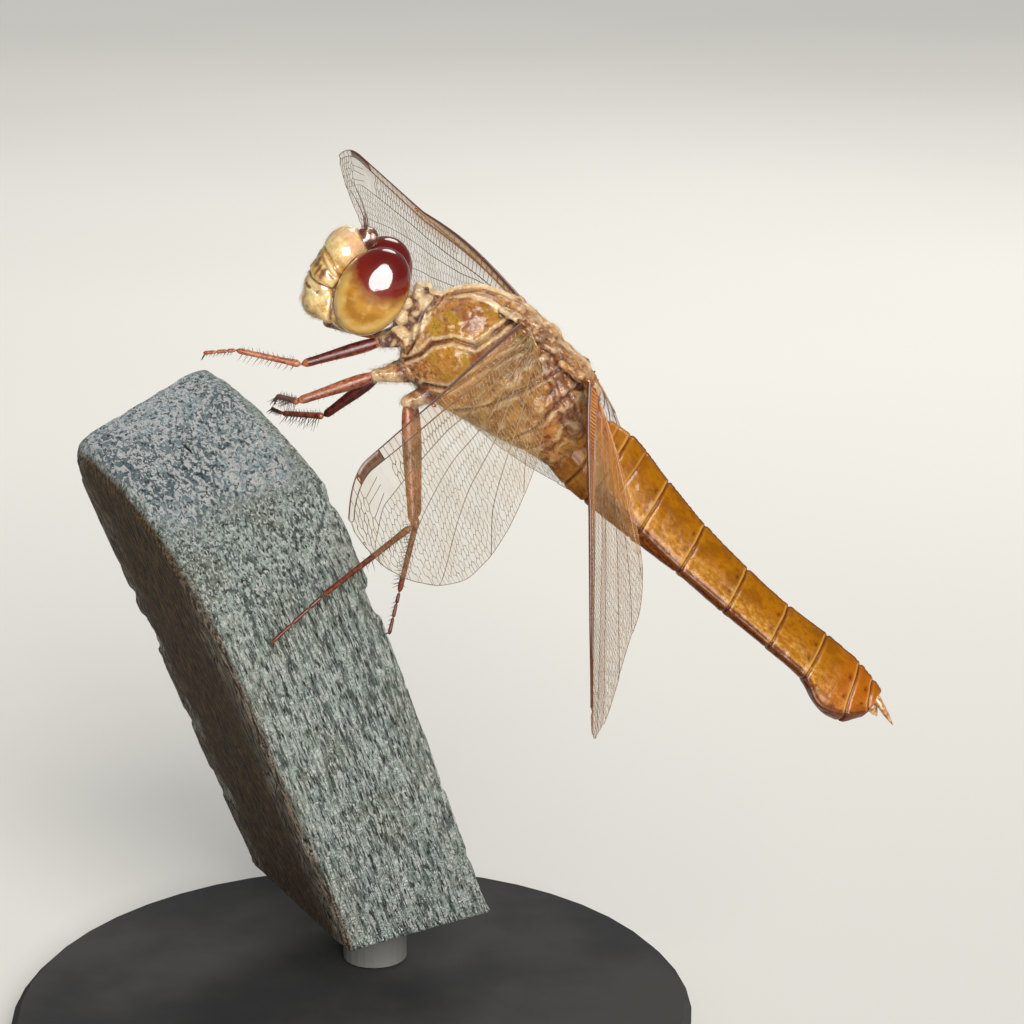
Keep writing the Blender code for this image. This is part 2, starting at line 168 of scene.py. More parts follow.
# Long veins: rows of share of the span and share of the chord behind the leading edge, radius, lift.
FOREWING_VEINS = (
    (((0.0, 0.0), (1.0, 0.0)), 0.095, 0.0),
    (((0.0, 0.22), (0.05, 0.13), (0.15, 0.085), (0.35, 0.06), (0.53, 0.0)), 0.06, -0.2),
    (((0.0, 0.4), (0.05, 0.22), (0.15, 0.15), (0.35, 0.115), (0.53, 0.085), (0.8, 0.075),
      (0.91, 0.085), (0.97, 0.12), (1.0, 0.3)), 0.08, 0.16),
    (((0.0, 0.5), (0.1, 0.25), (0.2, 0.24), (0.35, 0.25), (0.53, 0.21), (0.7, 0.24), (0.85, 0.33),
      (0.95, 0.62), (0.985, 1.0)), 0.05, -0.14),
    (((0.0, 0.55), (0.1, 0.33), (0.2, 0.32), (0.35, 0.38), (0.53, 0.37), (0.7, 0.45), (0.85, 0.68),
      (0.93, 1.0)), 0.042, 0.1),
    (((0.0, 0.62), (0.12, 0.42), (0.2, 0.45), (0.35, 0.53), (0.53, 0.58), (0.7, 0.75), (0.82, 1.0)),
     0.042, -0.1),
    (((0.0, 0.7), (0.1, 0.57), (0.2, 0.62), (0.35, 0.69), (0.5, 0.8), (0.6, 1.0)), 0.04, 0.08),
    (((0.0, 0.8), (0.1, 0.74), (0.2, 0.8), (0.3, 0.9), (0.36, 1.0)), 0.038, -0.05),
)
HINDWING_VEINS = (
    (((0.0, 0.0), (1.0, 0.0)), 0.095, 0.0),
    (((0.0, 0.12), (0.1, 0.055), (0.25, 0.04), (0.42, 0.0)), 0.06, -0.2),
    (((0.0, 0.22), (0.1, 0.1), (0.25, 0.08), (0.42, 0.07), (0.8, 0.08), (0.91, 0.09), (0.97, 0.13),
      (1.0, 0.3)), 0.08, 0.16),
    (((0.0, 0.3), (0.1, 0.16), (0.2, 0.16), (0.42, 0.17), (0.6, 0.21), (0.8, 0.33), (0.93, 0.65),
      (0.98, 1.0)), 0.05, -0.14),
    (((0.0, 0.37), (0.1, 0.22), (0.25, 0.24), (0.42, 0.3), (0.6, 0.38), (0.8, 0.62), (0.91, 1.0)),
     0.042, 0.1),
    (((0.0, 0.44), (0.1, 0.3), (0.2, 0.33), (0.42, 0.45), (0.6, 0.62), (0.78, 1.0)), 0.042, -0.1),
    (((0.0, 0.52), (0.1, 0.4), (0.2, 0.47), (0.3, 0.58), (0.45, 0.78), (0.55, 1.0)), 0.04, 0.08),
    (((0.0, 0.62), (0.1, 0.55), (0.2, 0.72), (0.3, 0.9), (0.35, 1.0)), 0.038, -0.06),
    (((0.0, 0.8), (0.06, 0.76), (0.12, 0.86), (0.18, 1.0)), 0.038, 0.03),
)
# Root, length, chords, veins and the nodus as a share of the span.
FOREWING = ((3.8, 3.19, 5.6), 45.0, FOREWING_CHORDS, FOREWING_VEINS, 0.53)
HINDWING = ((-3.0, 2.88, 5.2), 41.5, HINDWING_CHORDS, HINDWING_VEINS, 0.42)
# Name, side, kind, how amber it is, sweep, dihedral, twist, washout and arch.
WINGS = (
    ("forewing_left", 1, FOREWING, 0.35, 11.5, -11.1, 23.1, 0.0, 0.1),
    ("forewing_right", -1, FOREWING, 0.7, 23.7, -6.7, 40.5, 0.0, 0.8),
    ("hindwing_left", 1, HINDWING, 0.95, -8.6, -12.4, 32.2, 18.0, 0.5),
    ("hindwing_right", -1, HINDWING, 0.55, 9.0, -22.1, 22.0, 0.0, 0.5),
)

# Root of the coxa, hip, knee, ankle and toe.
LEG_JOINTS = {
    "fore_left": (
        (9.9, 1.2, -1.6), (11.3, 2.3, -2.7), (15.2, 3.5, -7.9), (19.8, 3.0, -10.3), (21.6, 2.5, -12.2),
    ),
    "fore_right": (
        (9.9, -1.2, -1.6), (10.9, -2.4, -3.2), (15.2, -4.9, -6.0), (12.0, -5.3, -2.2), (10.6, -4.6, -0.4),
    ),
    "mid_left": (
        (8.0, 1.4, -3.6), (10.0, 2.2, -5.2), (13.6, 3.2, -10.5), (14.5, -2.7, -12.6), (14.2, -5.2, -13.6),
    ),
    "mid_right": (
        (8.0, -1.4, -3.6), (9.4, -1.6, -6.0), (10.6, -2.9, -11.6), (13.2, -4.4, -13.9), (13.9, -6.4, -14.6),
    ),
    "hind_left": (
        (5.6, 1.5, -3.6), (6.8, 2.2, -5.4), (0.5, 4.2, -12.5), (2.2, 2.5, -22.1), (3.1, 3.6, -27.4),
    ),
    "hind_right": (
        (5.6, -1.5, -3.6), (5.8, -2.0, -6.0), (-0.6, -3.4, -13.7), (-3.5, -4.0, -19.8), (-5.0, -3.4, -23.0),
    ),
}

# How far a claw bends, in radians.
CLAW_CURL = 1.9

STAKE_WIDTH = 14.0
STAKE_DEPTH = 21.8
STAKE_TOP = (-10.4, -17.5, 58.5)
STAKE_TURN = -114.7
STAKE_LEAN = 30.8
STAKE_TWIST = 145.9
STAKE_CROWN = 2.2
STAKE_WEAR = 2.6
STAKE_DOME = 2.2
STAKE_SLOPE = 5.5
STAKE_SLOPE_HEIGHT = 10.0
STAKE_EDGE = 0.5
STAKE_FOOT_Z = 12.0
STAKE_CORNER_STEPS = 6
STAKE_CROWN_STEPS = 12
STAKE_TOP_RINGS = 44
STAKE_TO_ROW = (
    Matrix.Translation(Vector(STAKE_TOP) * MM)
    @ Matrix.Rotation(math.radians(STAKE_TURN), 4, "Z")
    @ Matrix.Rotation(math.radians(STAKE_LEAN), 4, "Y")
    @ Matrix.Rotation(math.radians(STAKE_TWIST), 4, "Z")
    @ Matrix.Diagonal((MM, MM, MM, 1.0))
)

# Lobes around the neck, on the left: x, y, z, half sizes and nod.
NECK_LOBES = (
    (11.3, 0.95, 1.75, 0.5, 0.95, 0.5, 25),
    (10.5, 1.3, 1.55, 0.62, 0.65, 0.75, 15),
    (11.2, 1.45, -0.45, 0.6, 0.5, 0.62, -20),
    (10.55, 1.75, -1.4, 0.8, 0.45, 0.5, 30),
    (9.75, 2.05, -0.1, 0.36, 0.45, 1.5, 20),
    (11.6, 1.3, 0.6, 0.4, 0.55, 0.5, 0),
    (10.5, 1.75, 0.3, 0.4, 0.45, 0.55, -30),
)

# The camera stands at the photo's viewing angle.
CAMERA_AT = (0.01455, -0.24278, 0.1216)
CAMERA_TILT = 90 - 16.3
CAMERA_LENS = 102.1
# Direction towards the key light.
KEY_FROM = (0.22, -0.84, 0.49)


# ---------------------------------------------------------------- helpers


def curve(rows):
    """A smooth function through (x, y) rows that never overshoots them."""
    xs, ys = (np.array(c, float) for c in zip(*sorted(rows)))
    h = np.diff(xs)
    d = np.diff(ys) / h
    m = np.zeros(len(xs))
    for i in range(1, len(xs) - 1):
        if d[i - 1] * d[i] > 0:
            w1 = 2 * h[i] + h[i - 1]
            w2 = h[i] + 2 * h[i - 1]
            m[i] = (w1 + w2) / (w1 / d[i - 1] + w2 / d[i])
    m[0], m[-1] = d[0], d[-1]

    def at(x):
        x = np.clip(np.asarray(x, float), xs[0], xs[-1])
        i = np.clip(np.searchsorted(xs, x) - 1, 0, len(h) - 1)
        t = (x - xs[i]) / h[i]
        a = (1 + 2 * t) * (1 - t) ** 2 * ys[i] + t * (1 - t) ** 2 * h[i] * m[i]
        b = t * t * (3 - 2 * t) * ys[i + 1] + t * t * (t - 1) * h[i] * m[i + 1]
        return a + b

    return at


def columns(table):
    """One curve over the first column for each other column."""
    return [curve([(row[0], row[k]) for row in table]) for k in range(1, len(table[0]))]


def bump(x, width):
    """1 where x is 0, falling away within about the width."""
    return np.exp(-((x / width) ** 2))


def ramp(x, low, high):
    """0 to 1 with soft ends as x passes from low to high."""
    t = np.clip((x - low) / (high - low), 0, 1)
    return t * t * (3 - 2 * t)


def grain(points, scale, seed=0, octaves=3):
    """Smooth value noise in about -1 to 1 for many points at once."""
    total = np.zeros(len(points))
    weight = 0.0
    for o in range(octaves):
        p = np.asarray(points) * scale * 2**o + seed * 17.3 + o * 31.7
        base = np.floor(p).astype(np.int64)
        f = p - base
        f = f * f * (3 - 2 * f)
        value = 0
        for step in np.ndindex(2, 2, 2):
            a, b, c = (base + step).T
            k = a * HASH_PRIMES[0] ^ b * HASH_PRIMES[1] ^ c * HASH_PRIMES[2]
            k = (k ^ (k >> 13)) * HASH_PRIMES[3]
            corner = ((k ^ (k >> 16)) & 0xFFFF) / 32767.5 - 1
            wx, wy, wz = (share if ahead else 1 - share for share, ahead in zip(f.T, step))
            value = value + corner * wx * wy * wz
        total += value / 2**o
        weight += 1 / 2**o
    return total / weight


def put_object(name, data, at=(0, 0, 0), turn=(0, 0, 0)):
    """A new object in the scene."""
    obj = bpy.data.objects.new(name, data)
    obj.location, obj.rotation_euler = at, turn
    bpy.context.scene.collection.objects.link(obj)
    return obj


def make_mesh(name, points, faces, marks=None, to_row=BODY_TO_ROW, smooth=True):
    """A mesh object in the row frame. faces is a list of arrays, one for each face size."""
    points = np.asarray(points, float)
    m = np.array(to_row)
    placed = points @ m[:3, :3].T + m[:3, 3]
    groups = [np.asarray(f, np.int64) for f in faces if len(f)]
    loops = np.concatenate([g.ravel() for g in groups])
    sizes = np.concatenate([np.full(len(g), g.shape[1]) for g in groups])
    starts = np.concatenate([[0], np.cumsum(sizes)[:-1]])
    data = bpy.data.meshes.new(name)
    data.vertices.add(len(placed))
    data.vertices.foreach_set("co", placed.astype(np.float32).ravel())
    data.loops.add(len(loops))
    data.loops.foreach_set("vertex_index", loops.astype(np.int32))
    data.polygons.add(len(sizes))
    data.polygons.foreach_set("loop_start", starts.astype(np.int32))
    data.update(calc_edges=True)
    data.validate()
    at = data.attributes.new("at", "FLOAT_VECTOR", "POINT")
    at.data.foreach_set("vector", points.astype(np.float32).ravel())
    for key, values in (marks or {}).items():
        layer = data.attributes.new(key, "FLOAT", "POINT")
        layer.data.foreach_set("value", np.asarray(values, np.float32))
    if smooth:
        data.shade_smooth()
    return put_object(name, data)


def finish_piece(obj, material, slot, *nodes):
    """Gives a piece its material and body, and hides the solids of the nodes it stands in for. slot is not
    used.
    """
    obj.data.materials.append(material)
    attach(obj, "root")
    if nodes:
        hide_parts(*nodes)
    return obj


def join(parts):
    """Points and face groups of several (points, [faces]) parts as one."""
    points, by_size = [], {}
    offset = 0
    for pts, faces in parts:
        points.append(pts)
        for f in faces:
            if len(f):
                by_size.setdefault(np.shape(f)[1], []).append(np.asarray(f) + offset)
        offset += len(pts)
    return np.concatenate(points), [np.concatenate(v) for v in by_size.values()]


def loft(rings):
    """Points and faces of a closed skin over rings that share one point count."""
    rings = np.asarray(rings, float)
    n, k = rings.shape[:2]
    points = rings.reshape(-1, 3)
    i, j = np.meshgrid(np.arange(n - 1), np.arange(k), indexing="ij")
    a = (i * k + j).ravel()
    b = (i * k + (j + 1) % k).ravel()
    quads = np.stack([a, b, b + k, a + k], 1)
    ends = np.array([rings[0].mean(0), rings[-1].mean(0)])
    j = np.arange(k)
    first = np.stack([(j + 1) % k, j, np.full(k, n * k)], 1)
    last = np.stack([(n - 1) * k + j, (n - 1) * k + (j + 1) % k, np.full(k, n * k + 1)], 1)
    return np.concatenate([points, ends]), [quads, np.concatenate([first, last])]


def ball(middle, sizes, nod=0.0, around=48, steps=32):
    """A closed ellipsoid, nodded about the insect's cross axis."""
    v = np.linspace(0, math.pi, steps + 1)[1:-1]
    u = np.linspace(0, 2 * math.pi, around, endpoint=False)
    rings = [[(math.sin(b) * math.cos(a), math.sin(b) * math.sin(a), math.cos(b)) for a in -u] for b in v]
    points, faces = loft(rings)
    points[-2] = (0, 0, 1)
    points[-1] = (0, 0, -1)
    points = points * np.array(sizes)
    turn = np.array(Matrix.Rotation(math.radians(nod), 3, "Y"))
    return points @ turn.T + np.array(middle), faces


def sweep(path, radii, sides):
    """A closed tube along a path, with a radius at each point."""
    path = np.asarray(path, float)
    tangent = np.gradient(path, axis=0)
    tangent /= np.linalg.norm(tangent, axis=1)[:, None] + 1e-12
    across = np.cross(tangent[0], (0.3, 1.0, 0.2))
    across /= np.linalg.norm(across)
    rings = []
    angles = np.linspace(0, 2 * math.pi, sides, endpoint=False)
    for p, t, r in zip(path, tangent, radii):
        across = across - t * np.dot(across, t)
        across /= np.linalg.norm(across)
        other = np.cross(t, across)
        rings.append(p + r * (np.cos(angles)[:, None] * across + np.sin(angles)[:, None] * other))
    return loft(rings)


def rods(starts, ends, radii, normals, end_radii=None):
    """Many four-sided rods at once, without caps."""
    starts, ends = np.asarray(starts), np.asarray(ends)
    radii = np.asarray(radii)[:, None]
    tips = radii if end_radii is None else np.asarray(end_radii)[:, None]
    along = ends - starts
    along /= np.linalg.norm(along, axis=1)[:, None] + 1e-12
    n1 = normals - along * (normals * along).sum(1)[:, None]
    n1 /= np.linalg.norm(n1, axis=1)[:, None] + 1e-12
    n2 = np.cross(along, n1)
    corners = (n1 + n2, n2 - n1, -n1 - n2, n1 - n2)
    rings = ((starts, radii), (ends, tips))
    points = np.stack([at + c * r * 0.71 for at, r in rings for c in corners], 1)
    base = np.arange(len(starts))[:, None] * 8
    quads = [base + np.array(q) for q in ((0, 1, 5, 4), (1, 2, 6, 5), (2, 3, 7, 6), (3, 0, 4, 7))]
    return points.reshape(-1, 3), [np.concatenate(quads)]


def remesh(parts, voxel):
    """One closed skin over overlapping closed parts, from their union's voxels."""
    points, faces = join(parts)
    obj = make_mesh("raw", points, faces, to_row=Matrix.Identity(4))
    mod = obj.modifiers.new("union", "REMESH")
    mod.mode = "VOXEL"
    mod.voxel_size = voxel
    dg = bpy.context.evaluated_depsgraph_get()
    data = bpy.data.meshes.new_from_object(obj.evaluated_get(dg), depsgraph=dg)
    co = np.empty(len(data.vertices) * 3, np.float32)
    data.vertices.foreach_get("co", co)
    loops = np.empty(len(data.loops), np.int32)
    data.loops.foreach_get("vertex_index", loops)
    bpy.data.objects.remove(obj)
    bpy.data.meshes.remove(data)
    return co.reshape(-1, 3).astype(float), loops.reshape(-1, 4)


def relax(points, quads, rounds, back=0.62):
    """Evens out voxel steps by moving each point towards its neighbours' mean."""
    edges = np.concatenate([quads[:, [k, (k + 1) % 4]] for k in range(4)])
    count = np.bincount(edges[:, 0], minlength=len(points)).astype(float)[:, None]
    for step in range(rounds):
        total = [np.bincount(edges[:, 0], points[edges[:, 1], k], len(points)) for k in range(3)]
        total = np.stack(total, 1)
        share = 0.6 if step % 2 == 0 else -back
        points = points + share * (total / np.maximum(count, 1) - points)
    return points


def vertex_normals(points, quads):
    """The mean direction of the quads around each point."""
    a = points[quads[:, 2]] - points[quads[:, 0]]
    b = points[quads[:, 3]] - points[quads[:, 1]]
    n = np.cross(a, b)
    out = np.zeros_like(points)
    for k in range(4):
        for c in range(3):
            out[:, c] += np.bincount(quads[:, k], n[:, c], len(points))
    return out / (np.linalg.norm(out, axis=1)[:, None] + 1e-12)


def submesh(points, quads, keep):
    """The quads that keep selects, with their own numbering, and the old indices."""
    chosen = quads[keep]
    used, inverse = np.unique(chosen, return_inverse=True)
    return points[used], inverse.reshape(-1, 4), used


# ---------------------------------------------------------------- materials


class Look:
    """A small builder for node materials. Keywords set the shader's sockets, with _ for a space.

    A plain look takes object coordinates, for a mesh without the attribute "at".
    """

    def __init__(self, name, plain=False, **sockets):
        self.material = bpy.data.materials.new(name)
        self.material.use_nodes = True
        self.tree = self.material.node_tree
        self.shader = self.tree.nodes["Principled BSDF"]
        for key, value in sockets.items():
            self.shader.inputs[key.replace("_", " ")].default_value = value
        if plain:
            self.at = self.node("ShaderNodeTexCoord").outputs["Object"]
        else:
            self.at = self.attribute("at", "Vector")

    def node(self, kind, **values):
        made = self.tree.nodes.new(kind)
        for key, value in values.items():
            setattr(made, key, value)
        return made

    def put(self, socket, value):
        if isinstance(value, bpy.types.NodeSocket):
            self.tree.links.new(value, socket)
        else:
            socket.default_value = value

    def fill(self, kind, values, **settings):
        """A node of this kind with the named inputs filled."""
        made = self.node(kind, **settings)
        for key, value in values.items():
            self.put(made.inputs[key], value)
        return made

    def attribute(self, name, kind="Fac"):
        return self.node("ShaderNodeAttribute", attribute_name=name).outputs[kind]

    def math(self, operation, a, b=0.0, c=0.0):
        return self.fill("ShaderNodeMath", {0: a, 1: b, 2: c}, operation=operation).outputs[0]

    def total(self, *terms):
        """The sum of value times weight over (value, weight) terms."""
        out = 0.0
        for value, weight in terms:
            out = self.math("MULTIPLY_ADD", value, weight, out)
        return out

    def split(self):
        return self.fill("ShaderNodeSeparateXYZ", {0: self.at}).outputs

    def noise(self, scale, detail=3.0, rough=0.55, distortion=0.0, stretch=None):
        at = self.at
        if stretch:
            at = self.fill("ShaderNodeMapping", {"Vector": at, "Scale": stretch}).outputs[0]
        values = {"Vector": at, "Scale": scale, "Detail": detail, "Roughness": rough}
        return self.fill("ShaderNodeTexNoise", {**values, "Distortion": distortion}).outputs[0]

    def cells(self, scale):
        made = self.fill("ShaderNodeTexVoronoi", {"Vector": self.at, "Scale": scale}, feature="F1")
        return made.outputs["Distance"]

    def span(self, value, low, high, to_low=0.0, to_high=1.0):
        values = {"Value": value, "From Min": low, "From Max": high, "To Min": to_low, "To Max": to_high}
        return self.fill("ShaderNodeMapRange", values, interpolation_type="SMOOTHSTEP").outputs[0]

    def over(self, base, colour, where, low=None, high=None, most=1.0):
        """Lays colour over base, up to most, where a value or attribute passes from low to high."""
        if isinstance(where, str):
            where = self.attribute(where)
        if low is not None:
            where = self.span(where, low, high, 0.0, most)
        elif most < 1.0:
            where = self.math("MULTIPLY", where, most)
        base, colour = ((*c, 1.0) if isinstance(c, tuple) else c for c in (base, colour))
        return self.fill("ShaderNodeMix", {0: where, 6: base, 7: colour}, data_type="RGBA").outputs[2]

    def finish(self, colour, rough, relief=None):
        """Sets colour, roughness (a number, or a value with its range) and relief."""
        if isinstance(rough, tuple):
            value, low, high = rough
            rough = self.span(value, 0.3, 0.7, low, high)
        self.put(self.shader.inputs["Base Color"], colour)
        self.put(self.shader.inputs["Roughness"], rough)
        if relief:
            values = dict(zip(("Height", "Strength", "Distance"), relief))
            self.put(self.shader.inputs["Normal"], self.fill("ShaderNodeBump", values).outputs[0])
        return self.material


def thorax_look():
    look = Look(
        "thorax_cuticle", Specular_IOR_Level=0.2, Coat_Weight=0.25, Coat_Roughness=0.14,
        Subsurface_Weight=0.06, Subsurface_Radius=(0.6, 0.25, 0.08), Subsurface_Scale=0.0005,
    )
    broad = look.noise(0.55, 4.0, 0.6)
    fine = look.noise(1.9, 5.0, 0.62)
    pink = look.noise(1.1, 4.0, 0.65, stretch=(1.0, 1.4, 0.8))
    tan = look.over((0.35, 0.105, 0.008), (0.57, 0.235, 0.034), broad, 0.38, 0.60)
    tan = look.over(tan, (0.15, 0.032, 0.004), fine, 0.50, 0.60, 0.78)
    tan = look.over(tan, (0.74, 0.46, 0.21), pink, 0.52, 0.62, 0.6)
    olive = look.over((0.50, 0.265, 0.006), (0.52, 0.21, 0.008), broad, 0.40, 0.60)
    olive = look.over(olive, (0.26, 0.105, 0.005), fine, 0.52, 0.66, 0.6)
    tan = look.over(tan, olive, "warm")
    tan = look.over(tan, (0.28, 0.125, 0.085), "violet")
    cream = look.over((0.94, 0.74, 0.45), (0.78, 0.50, 0.25), fine, 0.42, 0.66)
    # pale also holds painted highlight: the raised edges and the shoulder glint
    tan = look.over(tan, cream, "pale")
    # dark also holds painted shade in hollows, beside the crest, at the hips and between the neck lobes
    tan = look.over(tan, (0.070, 0.010, 0.008), "dark")
    relief = look.total((look.noise(2.4, 5.0, 0.62), 1.0), (look.noise(9.0), 0.25))
    return look.finish(tan, (fine, 0.26, 0.48), (relief, 0.9, 0.0005))


def abdomen_look():
    look = Look("abdomen_cuticle", Specular_IOR_Level=0.08, Coat_Weight=0.11, Coat_Roughness=0.10)
    x, _, _ = look.split()
    height = look.attribute("height")
    cloud = look.noise(0.75, 5.0, 0.62, 0.4, (0.8, 1.0, 1.0))
    fine = look.noise(2.2, 5.0, 0.6, 0.0, (1.0, 1.6, 1.6))
    amber = look.over((0.235, 0.078, 0.001), (0.33, 0.120, 0.001), cloud, 0.40, 0.60)
    amber = look.over(amber, (0.52, 0.235, 0.020), height, 0.62, 0.20, 0.38)
    # painted sheen: pale streaks on the lower flank
    painted_sheen = look.math("MULTIPLY", look.span(height, 0.62, 0.20), look.span(fine, 0.50, 0.64, 0.0, 0.45))
    amber = look.over(amber, (0.70, 0.40, 0.09), painted_sheen)
    amber = look.over(amber, (0.20, 0.058, 0.001), fine, 0.50, 0.34, 0.5)
    amber = look.over(amber, (0.42, 0.100, 0.004), x, -32.0, -37.0, 0.6)
    amber = look.over(amber, (0.42, 0.16, 0.030), x, -10.5, -6.0, 0.55)
    under = look.math("MULTIPLY", look.span(height, 0.13, 0.05), look.span(x, -7.5, -10.5, 0.35, 0.93))
    maroon = look.over((0.085, 0.011, 0.002), (0.22, 0.050, 0.008), fine, 0.4, 0.62)
    amber = look.over(amber, maroon, under)
    # pale also holds painted highlight on raised edges
    amber = look.over(amber, (0.74, 0.40, 0.10), "pale")
    # dark also holds painted shade in the hollows
    amber = look.over(amber, (0.060, 0.008, 0.002), "dark")
    relief = look.total((look.cells(7.0), 0.15), (look.noise(1.6, 4.0, 0.55), 1.0))
    return look.finish(amber, (fine, 0.24, 0.40), (relief, 0.25, 0.00022))


def face_look():
    look = Look(
        "face_cuticle", Specular_IOR_Level=0.35, Coat_Weight=1.0, Coat_Roughness=0.06,
        Subsurface_Weight=0.08, Subsurface_Radius=(0.7, 0.4, 0.15), Subsurface_Scale=0.0004,
    )
    fine = look.noise(2.6, 5.0, 0.6)
    tan = look.over((0.56, 0.27, 0.030), (0.76, 0.48, 0.12), look.noise(0.9, 4.0, 0.6), 0.36, 0.64)
    tan = look.over(tan, (0.38, 0.135, 0.008), fine, 0.50, 0.62, 0.6)
    cream = look.over((0.95, 0.78, 0.40), (0.84, 0.56, 0.20), fine, 0.42, 0.62)
    # pale also holds painted highlight on raised edges
    tan = look.over(tan, cream, "pale")
    tan = look.over(tan, (0.80, 0.44, 0.26), "violet")
    # dark also holds painted shade in the hollows and in the groove beside the eye
    tan = look.over(tan, (0.115, 0.012, 0.001), "dark")
    return look.finish(tan, (fine, 0.30, 0.50), (look.noise(3.4, 5.0, 0.7), 0.6, 0.0003))


def eye_look():
    """Tan below and maroon in a cap above, with a brown crescent and a darker rim."""
    look = Look("compound_eye", Specular_IOR_Level=0.05, Coat_Weight=1.0, Coat_IOR=1.5, Coat_Roughness=0.04)
    x, _, z = look.split()
    cloud = look.math("MULTIPLY_ADD", look.noise(1.1), 0.35, -0.175)

    def ring(cx, cz, rx, rz):
        square = 0.0
        for value, middle, radius in ((x, cx, rx), (z, cz, rz)):
            gap = look.math("MULTIPLY_ADD", value, 1 / radius, -middle / radius)
            square = look.math("MULTIPLY_ADD", gap, gap, square)
        return look.math("ADD", look.math("SQRT", square), cloud)

    reach = ring(EYE_AT[0], EYE_AT[2], EYE_SIZE[0], EYE_SIZE[2])
    cap = ring(14.7, 2.8, 2.75, 2.8)
    tan = look.over((0.52, 0.24, 0.025), (0.68, 0.42, 0.10), reach, 0.55, 0.80)
    crescent = look.math("MULTIPLY", look.span(reach, 0.30, 0.45), look.span(reach, 0.66, 0.52))
    crescent = look.math("MULTIPLY", crescent, look.span(z, -0.7, -1.3, 0.0, 0.85))
    tan = look.over(tan, (0.36, 0.145, 0.003), crescent)
    tan = look.over(tan, (0.76, 0.53, 0.19), look.noise(1.1, 3.0, 0.5), 0.44, 0.70, 0.5)
    tan = look.over(tan, (0.36, 0.17, 0.06), reach, 0.88, 0.98, 0.6)
    tan = look.over(tan, (0.30, 0.105, 0.022), cap, 1.40, 1.05)
    maroon = look.over((0.185, 0.010, 0.002), (0.115, 0.004, 0.002), cap, 0.95, 0.35)
    return look.finish(look.over(tan, maroon, cap, 1.07, 0.90), 0.32, (look.cells(16.0), 0.12, 0.00003))


def leg_look():
    look = Look("leg_cuticle", Specular_IOR_Level=0.2, Coat_Weight=0.12, Coat_Roughness=0.15)
    fine = look.noise(2.6, 4.0, 0.62)
    dark = look.over((0.050, 0.004, 0.002), (0.13, 0.015, 0.006), fine, 0.35, 0.65)
    warm = look.over((0.26, 0.060, 0.020), (0.48, 0.18, 0.085), fine, 0.38, 0.62)
    pale = look.over((0.50, 0.26, 0.13), (0.72, 0.50, 0.30), fine, 0.35, 0.65)
    tan = look.over(look.over(dark, warm, "tone", 0.1, 0.5), pale, "tone", 0.6, 1.0)
    return look.finish(tan, (fine, 0.26, 0.46), (look.noise(6.0, 4.0, 0.6), 0.45, 0.00012))


def plain_cuticle(name, low, high, rough, scale=3.0, coat=0.0):
    """Speckled cuticle for claws, spines, ocelli and the like."""
    look = Look(name, Coat_Weight=coat, Coat_Roughness=0.08)
    fine = look.noise(scale, 4.0, 0.6)
    speckled = look.over(low, high, fine, 0.35, 0.65)
    return look.finish(speckled, (fine, rough - 0.06, rough + 0.08), (fine, 0.25, 0.00005))


def vein_look():
    look = Look("wing_veins")
    fine = look.noise(1.4)
    brown = look.over((0.085, 0.042, 0.014), (0.20, 0.105, 0.038), fine, 0.35, 0.65)
    brown = look.over(brown, (0.46, 0.175, 0.028), "wash", 0.02, 0.6)
    brown = look.over(brown, (0.44, 0.23, 0.075), "soft", most=0.75)
    return look.finish(look.over(brown, (0.105, 0.018, 0.005), "lead"), (fine, 0.25, 0.4))


def membrane_look():
    """Smoky film that is amber where it is washed and golden on the right forewing's front edge, a gold
    that is partly the film's own and partly painted sheen.
    """
    look = Look("wing_membrane", IOR=1.5, Specular_IOR_Level=0.3, Coat_Weight=0.15, Coat_Roughness=0.15)
    film = look.over((0.50, 0.34, 0.10), (0.38, 0.28, 0.10), look.noise(0.25), 0.4, 0.65)
    film = look.over(film, (0.58, 0.25, 0.040), "wash", 0.02, 0.5)
    film = look.over(film, (0.34, 0.075, 0.006), "wash", 0.6, 0.95)
    film = look.over(film, (0.78, 0.42, 0.12), "gold_and_sheen")
    cloud = look.span(look.noise(0.35), 0.35, 0.7, 0.14, 0.28)
    alpha = look.total((look.attribute("wash"), 0.58), (look.attribute("gold_and_sheen"), 0.30), (cloud, 1.0))
    look.put(look.shader.inputs["Alpha"], alpha)
    return look.finish(film, (look.noise(0.8), 0.14, 0.32), (look.noise(0.9, 4.0, 0.6), 0.6, 0.0003))


